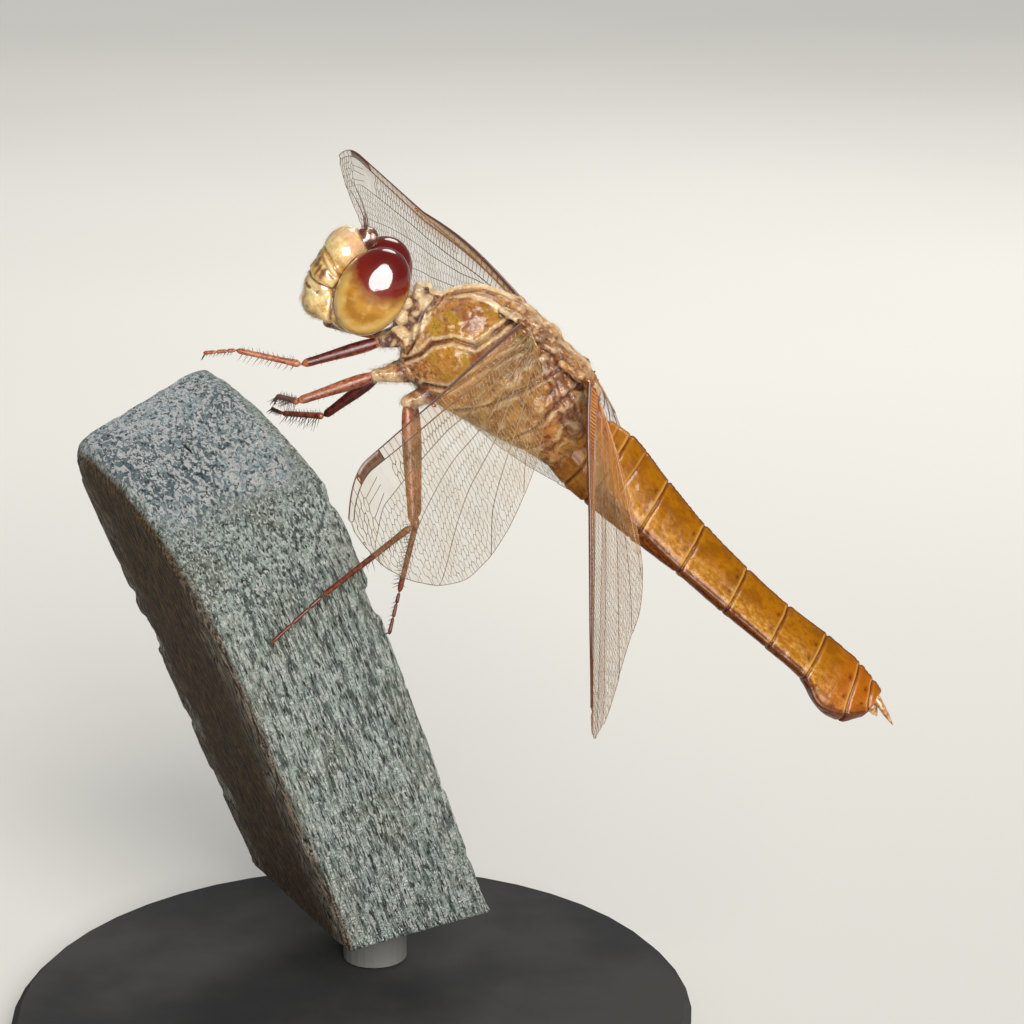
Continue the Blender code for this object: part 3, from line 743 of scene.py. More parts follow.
def wood_look():
    """Silver-grey weathered softwood, with one side darkened to brown as painted shade and open end grain
    on the crown.
    """
    look = Look("weathered_wood", Specular_IOR_Level=0.15)
    streak = look.noise(1.0, 8.0, 0.66, 0.3, (2.2, 2.2, 0.30))
    flecks = look.noise(1.0, 4.0, 0.60, 0.2, (5.0, 5.0, 0.62))
    pits = look.noise(1.0, 4.0, 0.60, 0.2, (5.8, 5.8, 0.75))
    worms = look.noise(1.0, 3.0, 0.48, 1.2, (2.5, 1.25, 1.8))
    hollows = look.noise(1.0, 3.0, 0.5, 1.0, (3.8, 2.2, 3.0))
    side = look.over((0.16, 0.205, 0.185), (0.65, 0.78, 0.71), streak, 0.40, 0.60)
    side = look.over(side, (0.26, 0.26, 0.18), look.noise(0.13, 4.0, 0.6), 0.50, 0.58, 0.5)
    side = look.over(side, (0.94, 1.0, 0.96), flecks, 0.515, 0.565, 0.95)
    side = look.over(side, (0.020, 0.026, 0.024), pits, 0.54, 0.61, 0.92)
    # painted shade: the dark brown given to the shaded left face
    brown = look.over((0.045, 0.020, 0.003), (0.22, 0.112, 0.024), flecks, 0.44, 0.60)
    brown = look.over(brown, (0.010, 0.007, 0.004), pits, 0.50, 0.60, 0.9)
    side = look.over(side, brown, "shade", most=0.98)
    top = look.over((0.20, 0.275, 0.310), (0.55, 0.68, 0.73), look.noise(0.16), 0.38, 0.62)
    top = look.over(top, (0.96, 0.99, 1.0), worms, 0.470, 0.515)
    top = look.over(top, (0.035, 0.048, 0.056), hollows, 0.54, 0.60, 0.85)
    wood = look.over(side, top, "end")
    # the pale corners are worn wood, laid on brighter as a painted edge highlight
    wear = look.math("MULTIPLY", look.attribute("wear"), look.span(flecks, 0.42, 0.54, 0.0, 0.85))
    wood = look.over(wood, (0.80, 0.78, 0.70), wear)
    wood = look.over(wood, (0.012, 0.014, 0.016), "crack")
    relief = look.total((streak, 0.7), (flecks, 0.7), (worms, 0.8), (pits, -0.7))
    return look.finish(wood, (streak, 0.72, 0.92), (relief, 1.0, 0.0013))


def stand_look(name, low, high):
    """Satin paint with a faint orange-peel and a dusting of wear."""
    look = Look(name, plain=True, Specular_IOR_Level=0.0)
    broad = look.noise(60.0, 4.0)
    paint = look.over(low, high, broad, 0.35, 0.65)
    return look.finish(paint, (broad, 0.50, 0.62), (look.noise(900.0, 4.0), 0.15, 0.00006))


def hair_look(name, colour, strength):
    look = Look(name)
    tan = look.over(colour, tuple(c * 0.8 for c in colour), look.noise(0.8), 0.35, 0.65)
    tan = look.over(tan, (0.16, 0.06, 0.03), "dark", most=strength)
    return look.finish(look.over(tan, (0.80, 0.64, 0.42), "pale", most=0.5), 0.5)


# ---------------------------------------------------------------- trunk and head


def trunk_rings(table, places, roundness=2.4, sides=72):
    """Squared oval rings across the trunk at places along x."""
    top, bottom, half = columns(table)
    a = -2 * math.pi * (np.arange(sides) + 0.5) / sides
    c, s = np.cos(a), np.sin(a)
    y = np.sign(c) * np.abs(c) ** (2 / roundness)
    z = np.sign(s) * np.abs(s) ** (2 / roundness)
    rings = []
    for x in places:
        middle = (top(x) + bottom(x)) / 2
        tall = (top(x) - bottom(x)) / 2
        rings.append(np.stack([np.full(sides, x), half(x) * y, middle + tall * z], 1))
    return np.array(rings)


def abdomen_rings(places, sides=24):
    """Rings of the abdomen's section, with its side margins, at places along x."""
    top, margin, bottom, half = columns(ABDOMEN)
    across, up = (np.array(c) for c in zip(*ABDOMEN_HALF_SECTION))
    steps = np.linspace(0, len(across) - 1, sides)
    fy = curve(list(enumerate(across)))(steps)
    fz = curve(list(enumerate(up)))(steps)
    fy = np.concatenate([fy, -fy[1:-1][::-1]])
    fz = np.concatenate([fz, fz[1:-1][::-1]])
    rings = []
    for x in places:
        rise = np.where(fz > 0, top(x) - margin(x), margin(x) - bottom(x))
        rings.append(np.stack([np.full(len(fy), x), half(x) * fy, margin(x) + rise * fz], 1))
    return np.array(rings)


def capsule(a, b, r0, r1, sides=20):
    """A tapering rod with round ends."""
    a, b = np.array(a, float), np.array(b, float)
    d = (b - a) / np.linalg.norm(b - a)
    path, radii = [], []
    for k in range(5):
        t = math.pi / 2 * (1 - k / 5)
        path.append(a - d * r0 * math.sin(t) * 0.98)
        radii.append(max(0.02, r0 * math.cos(t)))
    for k in range(9):
        path.append(a + (b - a) * k / 8)
        radii.append(r0 + (r1 - r0) * k / 8)
    for k in range(1, 6):
        t = math.pi / 2 * k / 5
        path.append(b + d * r1 * math.sin(t) * 0.98)
        radii.append(max(0.02, r1 * math.cos(t)))
    return sweep(path, radii, sides)


def wing_root_parts():
    """Notum lobes between the wings and the ridges that each wing hinges on."""
    parts = [
        ball((3.7, 0.0, 5.45), (1.7, 1.25, 0.72)),
        ball((1.25, 0.0, 5.75), (0.85, 0.75, 0.5)),
        ball((-1.7, 0.0, 5.0), (1.6, 1.15, 0.62)),
        ball((-4.1, 0.0, 4.1), (0.85, 0.75, 0.5)),
    ]
    for side in (1, -1):
        for a, b, r0, r1 in (
            ((6.2, 0.9, 5.35), (4.4, 1.5, 5.75), 0.35, 0.42),
            ((5.4, 2.1, 5.0), (3.4, 2.6, 5.35), 0.38, 0.5),
            ((3.0, 1.6, 5.6), (1.2, 1.9, 5.45), 0.45, 0.38),
            ((2.6, 2.5, 5.1), (0.6, 2.5, 5.0), 0.45, 0.35),
            ((0.2, 1.5, 5.3), (-1.8, 2.2, 4.95), 0.36, 0.45),
            ((-0.6, 2.7, 4.6), (-2.6, 2.55, 4.8), 0.36, 0.46),
            ((-2.6, 1.7, 4.8), (-4.4, 1.8, 4.2), 0.42, 0.42),
            ((-3.6, 2.35, 4.3), (-5.2, 1.75, 3.4), 0.45, 0.32),
        ):
            a, b = np.array((a, b)) * (1, side, 1)
            parts.append(capsule(a, b, r0, r1, 16))
        for x, y, z, r in (
            (4.5, 2.95, 5.35, 0.42), (3.4, 3.0, 5.15, 0.36),
            (-2.3, 2.85, 4.85, 0.42), (-3.4, 2.7, 4.6, 0.36),
        ):
            parts.append(ball((x, side * y, z), (r * 1.3, r, r * 0.8), 25, 20, 14))
    return parts


def coxa_parts():
    """Each leg's coxa and the short piece that follows it."""
    parts = []
    for name, joints in LEG_JOINTS.items():
        root, hip = np.array(joints[0]), np.array(joints[1])
        thick = 0.85 if name.startswith("hind") else 0.78
        parts.append(capsule(root, root + (hip - root) * 0.75, thick, thick * 0.72))
        parts.append(capsule(root + (hip - root) * 0.8, hip, 0.5, 0.48))
    return parts


def side_balls(rows):
    """Balls on both sides from left-hand rows of x, y, z, half sizes, nod, and points around and along."""
    return [
        ball((x, side * y, z), (sx, sy, sz), nod, around, steps)
        for side in (1, -1) for x, y, z, sx, sy, sz, nod, around, steps in rows
    ]


def head_parts():
    """The head's swellings and the neck behind them."""
    neck = capsule((12.9, 0, -0.4), (11.2, 0, -0.3), 0.75, 0.8)
    return [ball(*row) for row in HEAD_BALLS] + side_balls(HEAD_SIDE_BALLS) + [neck]


def neck_parts():
    """Pale lobes of the pronotum and the small plates beside the neck."""
    return side_balls([(*row, 28, 18) for row in NECK_LOBES])


def ellipsoid_reach(points, middle, sizes, nod):
    """How far out points lie from an ellipsoid's middle: 1 on its surface."""
    turn = np.array(Matrix.Rotation(math.radians(nod), 3, "Y"))
    local = (points - np.array(middle)) @ turn / np.array(sizes)
    return np.linalg.norm(local, axis=1)


def line_gap(points, a, b):
    """Distance in the side view from each point to the line a-b, both (x, z)."""
    a, b = np.array(a, float), np.array(b, float)
    p = points[:, [0, 2]]
    t = np.clip(((p - a) @ (b - a)) / ((b - a) @ (b - a)), 0, 1)
    return np.linalg.norm(p - (a + t[:, None] * (b - a)), axis=1)


def strokes(points, *lines):
    """Smallest side-view distance to any of several polylines of (x, z) points."""
    gaps = [line_gap(points, a, b) for line in lines for a, b in zip(line, line[1:])]
    return np.min(gaps, axis=0)


def spots(points, *rows):
    """Soft side-view ovals: each row is x, z, radius along x, radius along z."""
    x, _, z = points.T
    ovals = [np.exp(-(((x - cx) / rx) ** 2 + ((z - cz) / rz) ** 2)) for cx, cz, rx, rz in rows]
    return np.max(ovals, axis=0)


class Marks:
    """The relief of one region's points and the strength of their markings, which only grow stronger."""

    def __init__(self, points):
        self.points = points
        self.lift, self.dark, self.pale = np.zeros((3, len(points)))

    def darken(self, strength):
        self.dark = np.maximum(self.dark, strength)

    def lighten(self, strength):
        self.pale = np.maximum(self.pale, strength)

    def patches(self, scale, seed, low, high):
        """Soft-edged patches, full where the grain passes high."""
        return ramp(grain(self.points, scale, seed), low, high)


def sculpt_thorax(points):
    """Relief of the thorax and the strength of each of its markings."""
    x, y, z = points.T
    out = np.abs(y)
    m = Marks(points)
    side = ramp(out, 0.9, 1.8)
    wander = 0.10 * grain(points, 1.1, 1)
    rough = grain(points, 1.5, 2)
    m.lift += 0.06 * rough + 0.09 * grain(points, 0.65, 3) * side + 0.04 * grain(points, 2.6, 7, 2) * side

    # the seams between the plates, in the side view
    seams = strokes(
        points,
        ((9.0, -3.0), (8.4, -1.6), (8.3, -0.4), (7.2, 0.95), (5.6, 1.6), (5.3, 2.4), (4.6, 4.9)),
        ((6.6, -3.4), (5.0, -2.4), (4.4, -0.4), (3.4, 2.2), (2.0, 4.7)),
        ((3.6, -4.0), (1.9, -1.6), (0.4, 1.6), (-0.8, 4.3)),
        ((-1.2, -3.4), (-2.2, -0.6), (-2.4, 2.2), (-2.9, 4.2)),
        ((9.9, 2.9), (10.15, 1.2), (9.5, -0.6), (9.2, -2.4)),
    ) + wander
    m.lift -= 0.22 * bump(seams, 0.16) * side
    m.darken(0.75 * bump(seams, 0.09) * side * m.patches(0.9, 21, -0.7, 0.1))
    m.lift += 0.10 * bump(np.abs(seams) - 0.38, 0.2) * side * ramp(x, 1.5, 4.5)
    behind = ramp(4.0 - x, 0.0, 1.0)
    m.lighten(0.35 * (1 - 0.7 * behind) * bump(np.abs(seams) - 0.36, 0.2) * side * ramp(rough, -0.5, 0.3))

    # olive and amber fields
    plate = np.sqrt(((x - 6.35) / 1.75) ** 2 + ((z + 0.55) / 1.75) ** 2) + 0.08 * rough
    m.lift += 0.30 * (1 - ramp(plate, 0.35, 1.05)) * side
    warm = 0.9 * (1 - ramp(plate, 0.8, 1.05)) * side
    olive = spots(
        points, (8.9, 0.8, 1.0, 0.75), (7.2, 1.5, 1.1, 0.6), (5.4, 2.6, 0.7, 0.7),
        (5.9, 4.3, 0.9, 0.55), (8.2, 2.2, 1.0, 0.5),
    )
    ribbed = spots(points, (2.6, 4.4, 1.0, 0.45))
    amber = spots(points, (-5.4, 0.2, 1.1, 0.9))
    warm = np.maximum(warm, 0.9 * ramp(olive + 0.15 * rough, 0.25, 0.7) * side)
    warm = np.maximum(np.maximum(warm, ribbed), 0.9 * amber * side)
    m.darken(0.8 * ribbed * ramp(np.sin(x * 14), 0.3, 0.8))

    # the crest between the shoulders, the welt below it and the back behind it
    crest = ramp(x, 4.7, 5.3) * ramp(z, 1.0, 2.0)
    m.lift += 0.32 * bump(y, 0.24) * crest - 0.12 * bump(out - 0.75, 0.2) * crest
    m.lighten(ramp(bump(y, 0.38), 0.3, 0.6) * crest)
    # painted shade: a darker band in the groove beside the crest
    m.darken(0.55 * bump(out - 0.85, 0.16) * crest * ramp(rough, -0.4, 0.2))
    welt = strokes(points, ((9.6, 3.05), (8.2, 4.25), (6.7, 4.85), (5.4, 5.0), (4.3, 5.35))) + 0.5 * wander
    m.lift += 0.13 * bump(welt, 0.15) * side
    m.lighten(ramp(bump(welt, 0.19), 0.25, 0.6) * side)
    back = ramp(4.7 - x, 0.0, 0.5) * ramp(z, 2.8, 3.6)
    m.lift += 0.12 * bump(y, 0.22) * back
    m.lighten(0.75 * bump(y, 0.55) * back)
    m.lighten(0.6 * back * m.patches(1.3, 9, 0.05, 0.4))
    m.darken(0.55 * back * m.patches(1.3, 9, -0.15, -0.45))
    humeral = strokes(points, ((5.85, 0.9), (5.5, 2.1), (5.1, 3.3))) + wander
    m.lighten(0.7 * bump(humeral, 0.22) * side)

    # dark wing hinges, and a painted highlight: a pale glint on the shoulder
    hinge = spots(
        points, (5.4, 4.6, 0.35, 0.3), (4.2, 4.9, 0.4, 0.3), (2.0, 4.1, 0.35, 0.3), (0.4, 4.7, 0.3, 0.35),
        (-1.5, 4.2, 0.4, 0.35), (-3.0, 3.9, 0.35, 0.3), (3.3, 5.2, 0.3, 0.3),
    )
    m.darken(0.75 * ramp(hinge + 0.4 * grain(points, 2.0, 41), 0.35, 0.8) * side)
    shoulder = spots(points, (6.9, 3.6, 1.9, 0.8), (9.0, 3.0, 0.8, 0.8))
    painted_glint = m.patches(1.2, 14, 0.18, 0.42) * shoulder * side
    m.lighten(0.75 * painted_glint)
    m.lift += 0.06 * painted_glint

    # violet bands under the hindwing, and fibres over the rear plates
    strip = strokes(points, ((0.6, 4.2), (-1.5, 3.2), (-3.6, 1.8), (-5.0, 1.2))) + 2 * wander
    near = 1 - ramp(strip, 0.5, 1.3)
    bands = np.sin(7.0 * strip + 1.5 * rough)
    violet = 0.6 * near * ramp(bands, -0.3, 0.5) * side
    m.darken(0.7 * near * ramp(-bands, 0.3, 0.9) * side)
    m.lift += 0.06 * near * bands * side
    fibres = np.sin(4.5 * (0.96 * x + 0.28 * z) + 4.5 * grain(points, 0.6, 31))
    fibres = fibres * side * ramp(3.5 - x, 0.0, 1.5)
    m.lighten(0.55 * ramp(fibres + 0.6 * rough, 0.4, 1.0) * m.patches(0.9, 33, -0.25, 0.25))
    m.darken(0.45 * ramp(-fibres + 0.6 * rough, 0.65, 1.0) * m.patches(0.8, 34, -0.2, 0.2))
    m.lift += 0.05 * fibres
    top = ramp(x, 5.6, 6.8) * ramp(z, 2.0, 3.2) * ramp(-rough, -0.3, 0.5)
    violet = np.maximum(violet, 0.55 * top * (1 - painted_glint))

    # the hips darkened as painted shade where the coxae meet the thorax, the coxae and the lobes around the
    # neck
    hip_gap_shade = strokes(points, ((8.6, -3.7), (7.6, -4.1), (6.6, -3.9), (5.2, -3.7))) + 2 * wander
    m.darken(0.85 * bump(hip_gap_shade, 0.42) * ramp(out, 0.8, 1.6))
    coxae = np.maximum(ramp(-z, 3.9, 4.4) * ramp(x, 4.5, 6.0), ramp(x, 9.6, 10.2) * ramp(-z, 1.6, 2.2))
    m.lighten(0.65 * coxae * m.patches(1.4, 5, -0.25, 0.2))
    mottle = 0.35 * grain(points, 1.1, 42)
    for lx, ly, lz, sx, sy, sz, _ in NECK_LOBES:
        reach = np.sqrt(((x - lx) / sx) ** 2 + ((out - ly) / sy) ** 2 + ((z - lz) / sz) ** 2)
        m.lighten(1 - ramp(reach + mottle, 0.95, 1.35))
    # painted shade: the front is darkened in the gaps between the pale lobes
    front = ramp(x, 9.7, 10.1)
    m.darken(0.9 * front * (1 - ramp(m.pale, 0.15, 0.5)) * m.patches(0.8, 6, -0.7, -0.1))
    dark = m.dark * (1 - 0.6 * ramp(m.pale, 0.5, 0.9) * front)
    pale = m.pale * (1 - 0.9 * ramp(dark, 0.4, 0.8) * (1 - front))
    return m.lift, {"dark": dark, "pale": pale, "warm": warm, "violet": violet}


def sculpt_abdomen(points):
    """Joint rings, the dorsal carina, the side margin and their markings."""
    x, y, z = points.T
    top, margin, _, _ = columns(ABDOMEN)
    m = Marks(points)
    height = (z - margin(x)) / np.maximum(top(x) - margin(x), 0.3)
    above = ramp(height, -0.05, 0.05)
    m.lift += 0.12 * bump(y, 0.15) * above
    m.darken(0.7 * bump(y, 0.16) * above * ramp(-x, 7.5, 10.0))
    warp = 0.05 * grain(points, 1.2, 6)
    for end in SEGMENT_ENDS[1:-1]:
        # the last rings lean back further
        slant = 1.15 if end < -35 else 0.25
        d = x - end + warp + slant * (1 - np.clip(height, -0.2, 1))
        m.lift += 0.02 * bump(d - 0.3, 0.16) + 0.04 * bump(d + 0.35, 0.3) - 0.14 * bump(d, 0.10)
        m.darken(0.95 * bump(d, 0.075))
        m.lighten(0.6 * bump(d - 0.20, 0.09) * above)
        rows = np.maximum(bump(height - 0.36, 0.05), bump(height - 0.72, 0.05))
        m.darken(0.8 * bump(d - 0.6, 0.16) * rows)
    for ring in (-7.9, -10.9):
        m.lift -= 0.06 * bump(x - ring, 0.09) * above
        m.darken(0.4 * bump(x - ring, 0.07) * above)
        m.lighten(0.4 * bump(x - ring - 0.15, 0.09) * above)
    edge = bump(height, 0.05)
    m.darken(0.7 * edge * ramp(-x, 8, 12))
    flange = ramp(-x, 32.4, 33.4) * ramp(x + 36.2, 0, 0.6) * ramp(0.3 - height, 0, 0.2)
    m.darken(0.8 * flange * m.patches(1.5, 5, -0.4, 0.2))
    m.lighten(0.5 * flange * m.patches(2.0, 6, 0.1, 0.4))
    m.darken(0.5 * ramp(-x, 36.4, 37.6) * ramp(0.45 - height, 0, 0.3))
    m.lift += 0.09 * edge + 0.03 * grain(points, 1.6, 8) + 0.05 * grain(points, 0.5, 9)
    return m.lift, {"dark": m.dark, "pale": m.pale, "height": height}


def sculpt_head(points):
    """Grooves between the face plates and the markings of the face."""
    x, y, z = points.T
    out = np.abs(y)
    m = Marks(points)
    rough = grain(points, 1.6, 5)
    wander = 0.05 * rough
    ahead = ramp(x, 15.2, 15.8)
    lateral = ramp(out, 0.9, 1.5)
    m.lift += 0.03 * grain(points, 2.5, 5) + 0.06 * grain(points, 1.3, 9)
    frons_low, mouth, cheek, second = (strokes(points, line) + wander for line in (
        ((19.6, 0.05), (19.07, -0.11), (18.16, -0.39), (17.16, -0.79), (16.5, -1.1)),
        ((19.4, -2.1), (19.1, -2.25), (18.6, -2.45), (18.09, -2.4), (17.3, -2.2), (16.5, -1.95)),
        ((16.75, -1.6), (16.6, -2.2), (16.28, -2.7), (15.8, -3.5), (15.5, -4.0)),
        ((18.9, -0.7), (18.2, -0.95), (17.4, -1.2)),
    ))
    m.lift -= 0.13 * bump(frons_low, 0.12) * ahead
    m.lift -= 0.16 * bump(mouth, 0.11) * ahead
    m.lift -= 0.18 * bump(cheek, 0.15) * ahead * lateral
    m.lift += (0.07 * bump(second - 0.32, 0.2) - 0.07 * bump(second, 0.1)) * ahead
    m.darken(0.35 * bump(frons_low, 0.08))
    m.darken(0.95 * bump(mouth, 0.10) * ramp(out, 0.1, 0.6))
    # painted shade in the deep groove between the face and the eye
    m.darken(0.95 * bump(cheek, 0.13) * lateral)
    m.darken(0.45 * bump(second, 0.07))
    blots = spots(points, (18.95, -1.15, 0.16, 0.55), (18.2, -1.45, 0.24, 0.65), (18.6, -1.5, 0.12, 0.6))
    m.darken(0.85 * ramp(blots + 0.3 * rough, 0.2, 0.85) * ramp(out, 0.5, 1.1))
    specks = spots(points, (18.45, -3.1, 0.3, 0.16), (17.5, -4.4, 0.16, 0.1), (17.6, -3.0, 0.1, 0.3))
    m.darken(0.9 * ramp(specks + 0.3 * rough, 0.2, 0.7) * ramp(out, 0.3, 0.7))
    pleats = ramp(np.sin(6.5 * out + 2.2 * x + 1.5 * rough), -0.2, 0.9) * ramp(-z, 2.5, 3.0) * ahead
    m.lift -= 0.10 * pleats
    m.darken(0.30 * pleats)

    # the vertex, the hollow around it and the furrow of the frons
    from_vertex = ellipsoid_reach(points, *VERTEX)
    vertex = 1 - ramp(from_vertex, 1.04, 1.12)
    m.darken(vertex)
    hollow = bump(from_vertex - 1.12, 0.08) * ramp(z, 1.6, 2.2)
    m.lift -= 0.12 * hollow
    m.darken(0.6 * hollow)
    furrow = bump(y, 0.16) * ramp(z, -0.4, 1.2) * ahead * (1 - vertex)
    m.lift -= 0.16 * furrow
    m.darken(0.25 * furrow)
    for side in (1, -1):
        eye = ellipsoid_reach(points, np.array(EYE_AT) * (1, side, 1), EYE_SIZE, EYE_NOD)
        m.darken(0.8 * (1 - ramp(eye, 1.0, 1.04)))

    frons = ahead * ramp(z, -0.2, 0.4)
    m.lighten(0.9 * frons * m.patches(0.8, 8, -0.5, 0.1))
    lobe = spots(
        points, (17.75, -0.95, 0.6, 0.25), (17.3, -1.7, 0.7, 0.25), (18.4, -2.75, 0.7, 0.25),
        (17.0, -2.9, 0.5, 0.6),
    )
    m.lighten(0.95 * ramp(lobe + 0.15 * rough, 0.35, 0.7) * ahead)
    m.lighten(0.85 * ahead * ramp(-z, 2.0, 2.6) * m.patches(1.1, 3, -0.4, 0.1))
    behind = ramp(13.2 - x, 0, 0.5)
    m.lighten(0.8 * behind * m.patches(1.3, 11, -0.2, 0.2))
    m.darken(0.7 * behind * m.patches(1.3, 11, -0.1, -0.4))
    violet = 0.8 * frons * ramp(z, 0.5, 1.6) * ramp(rough, -0.3, 0.3)
    return m.lift, {"dark": m.dark, "pale": m.pale * (1 - ramp(m.dark, 0.3, 0.7)), "violet": violet}


def skin_of(x):
    """0 on the head, 1 on the thorax and 2 on the abdomen."""
    return np.where(x > NECK_X, 0, np.where(x >= WAIST_X, 1, 2))


def build_body():
    """One voxel skin over all flesh, cut in its own grooves into three finishes."""
    parts = [
        loft(trunk_rings(THORAX, np.linspace(-6.2, 9.55, 90))),
        loft(trunk_rings(PROTHORAX, np.linspace(9.1, 11.35, 24))),
        loft(abdomen_rings(np.linspace(-38.5, -5.4, 180))),
    ]
    parts += wing_root_parts() + coxa_parts() + head_parts() + neck_parts()
    points, quads = remesh(parts, VOXEL)
    points = relax(points, quads, SKIN_ROUNDS)
    face = points[:, 0] > FACE_X
    points[face] = relax(points, quads, FACE_ROUNDS, 0.3)[face]
    normals = vertex_normals(points, quads)
    x = points[:, 0]
    skin = skin_of(x)
    kinds = (
        ("head_skin", sculpt_head, face_look, "face",
         ("head", "frons", "clypeus", "labrum", "labium", "vertex", "neck")),
        ("thorax_skin", sculpt_thorax, thorax_look, "thorax",
         ("prothorax", "mesothorax", "metathorax", *("coxa_" + n for n in LEG_JOINTS))),
        ("abdomen_skin", sculpt_abdomen, abdomen_look, "abdomen",
         tuple(f"abdomen_s{n}" for n in range(1, 11))),
    )
    lift = np.zeros(len(points))
    marks = {key: np.zeros(len(points)) for key in ("dark", "pale", "warm", "violet", "height")}
    for kind, (_, sculpt, *_) in enumerate(kinds):
        region = skin == kind
        lift[region], found = sculpt(points[region])
        for key, values in found.items():
            marks[key][region] = np.clip(values, -1, 1.5) if key == "height" else np.clip(values, 0, 1)
    points = points + normals * lift[:, None]

    # painted shade in the hollows and painted highlight on raised edges, from the height above a smoother
    # skin
    rise = ((points - relax(points, quads, RELIEF_ROUNDS, -0.6)) * normals).sum(1)
    hollow = np.choose(skin, (0.45, 0.75, 0.3)) * ramp(-rise, 0.012, 0.055) * (1 - marks["warm"] * 0.5)
    painted_ridge_light = np.where(skin < 2, 0.25 + 0.4 * ramp(x, 1.0, 5.0), 0.15) * ramp(rise, 0.012, 0.05)
    # from here dark also carries this painted shade and pale this painted highlight
    marks["dark"] = np.maximum(marks["dark"], hollow)
    marks["pale"] = np.maximum(marks["pale"], painted_ridge_light)

    skin = skin_of(points[quads].mean(1)[:, 0])
    made = {}
    for kind, (name, _, look, slot, nodes) in enumerate(kinds):
        pts, faces, used = submesh(points, quads, skin == kind)
        own = {key: values[used] for key, values in marks.items()}
        finish_piece(make_mesh(name, pts, [faces], own), look(), slot, *nodes)
        made[name] = (pts, faces, normals[used], own)
    return made


def build_eyes():
    """Slightly squared ellipsoids, a little inside the eyes of the solids."""
    look = eye_look()
    turn = np.array(Matrix.Rotation(math.radians(EYE_NOD), 3, "Y"))
    for hand, side in SIDES:
        points, faces = ball((0, 0, 0), (1, 1, 1), 0, 128, 96)
        out = np.minimum(np.hypot(points[:, 0], points[:, 2]), 1)
        points[:, 1] = np.sign(points[:, 1]) * (1 - out**EYE_SQUARENESS) ** (1 / EYE_SQUARENESS)
        middle = np.array(EYE_AT) * (1, side, 1)
        points = (points * (np.array(EYE_SIZE) - 0.03)) @ turn.T + middle
        finish_piece(make_mesh(f"eye_{hand}_shell", points, faces), look, "eye", f"eye_{hand}")


def build_feelers():
    """The antennae and the three ocelli."""
    look = plain_cuticle("feeler", (0.05, 0.02, 0.012), (0.14, 0.05, 0.02), 0.45)
    # the ocelli's pale colour is partly their own and partly a painted highlight
    painted_highlight_ocellus = plain_cuticle("ocellus", (0.50, 0.26, 0.16), (0.78, 0.55, 0.42), 0.15, coat=1.0)
    steps = np.linspace(0, 3, 24)
    radii = np.interp(steps, (0, 0.5, 0.9, 1.0, 1.1, 3), (0.15, 0.13, 0.10, 0.05, 0.045, 0.02))
    ocelli = []
    for hand, side in SIDES:
        name = f"antenna_{hand}"
        path = np.array(ANTENNA) * (1, side, 1)
        smooth = np.stack([curve(list(enumerate(path[:, k])))(steps) for k in range(3)], 1)
        finish_piece(make_mesh(name + "_bristle", *sweep(smooth, radii, 8)), look, "antenna", name)
        ocelli.append(ball((16.85, side * 0.72, 2.95), (0.28, 0.26, 0.28), 0, 24, 16))
    ocelli.append(ball((17.75, 0.0, 3.0), (0.26, 0.3, 0.26), 0, 24, 16))
    finish_piece(make_mesh("ocelli", *join(ocelli)), painted_highlight_ocellus, "eye")


def build_tail():
    """Cerci and the small epiproct between them."""
    look = plain_cuticle("tail_tip", (0.30, 0.09, 0.02), (0.68, 0.44, 0.20), 0.35, coat=0.3)
    for hand, side in SIDES:
        name = f"cercus_{hand}"
        parts = [sweep(np.array(CERCUS) * (1, side, 1), (0.24, 0.28, 0.22, 0.12, 0.02), 12)]
        if side == 1:
            parts.append(sweep(EPIPROCT, (0.6, 0.5, 0.25, 0.03), 12))
        finish_piece(make_mesh(name + "_shell", *join(parts)), look, "claw", name)


# ---------------------------------------------------------------- wings


def wing_axes(side, sweep_deg, dihedral, twist):
    """Directions out along a wing, ahead along its chord and up from it."""
    a, d = math.radians(sweep_deg), math.radians(dihedral)
    along = np.array((math.sin(a) * math.cos(d), side * math.cos(a) * math.cos(d), math.sin(d)))
    ahead = np.array((1.0, 0, 0))
    ahead -= ahead.dot(along) * along
    ahead /= np.linalg.norm(ahead)
    up = side * np.cross(ahead, along)
    t = np.radians(np.asarray(twist, float))[..., None]
    chord = np.cos(t) * ahead + np.sin(t) * up
    return along, chord, side * np.cross(chord, along)


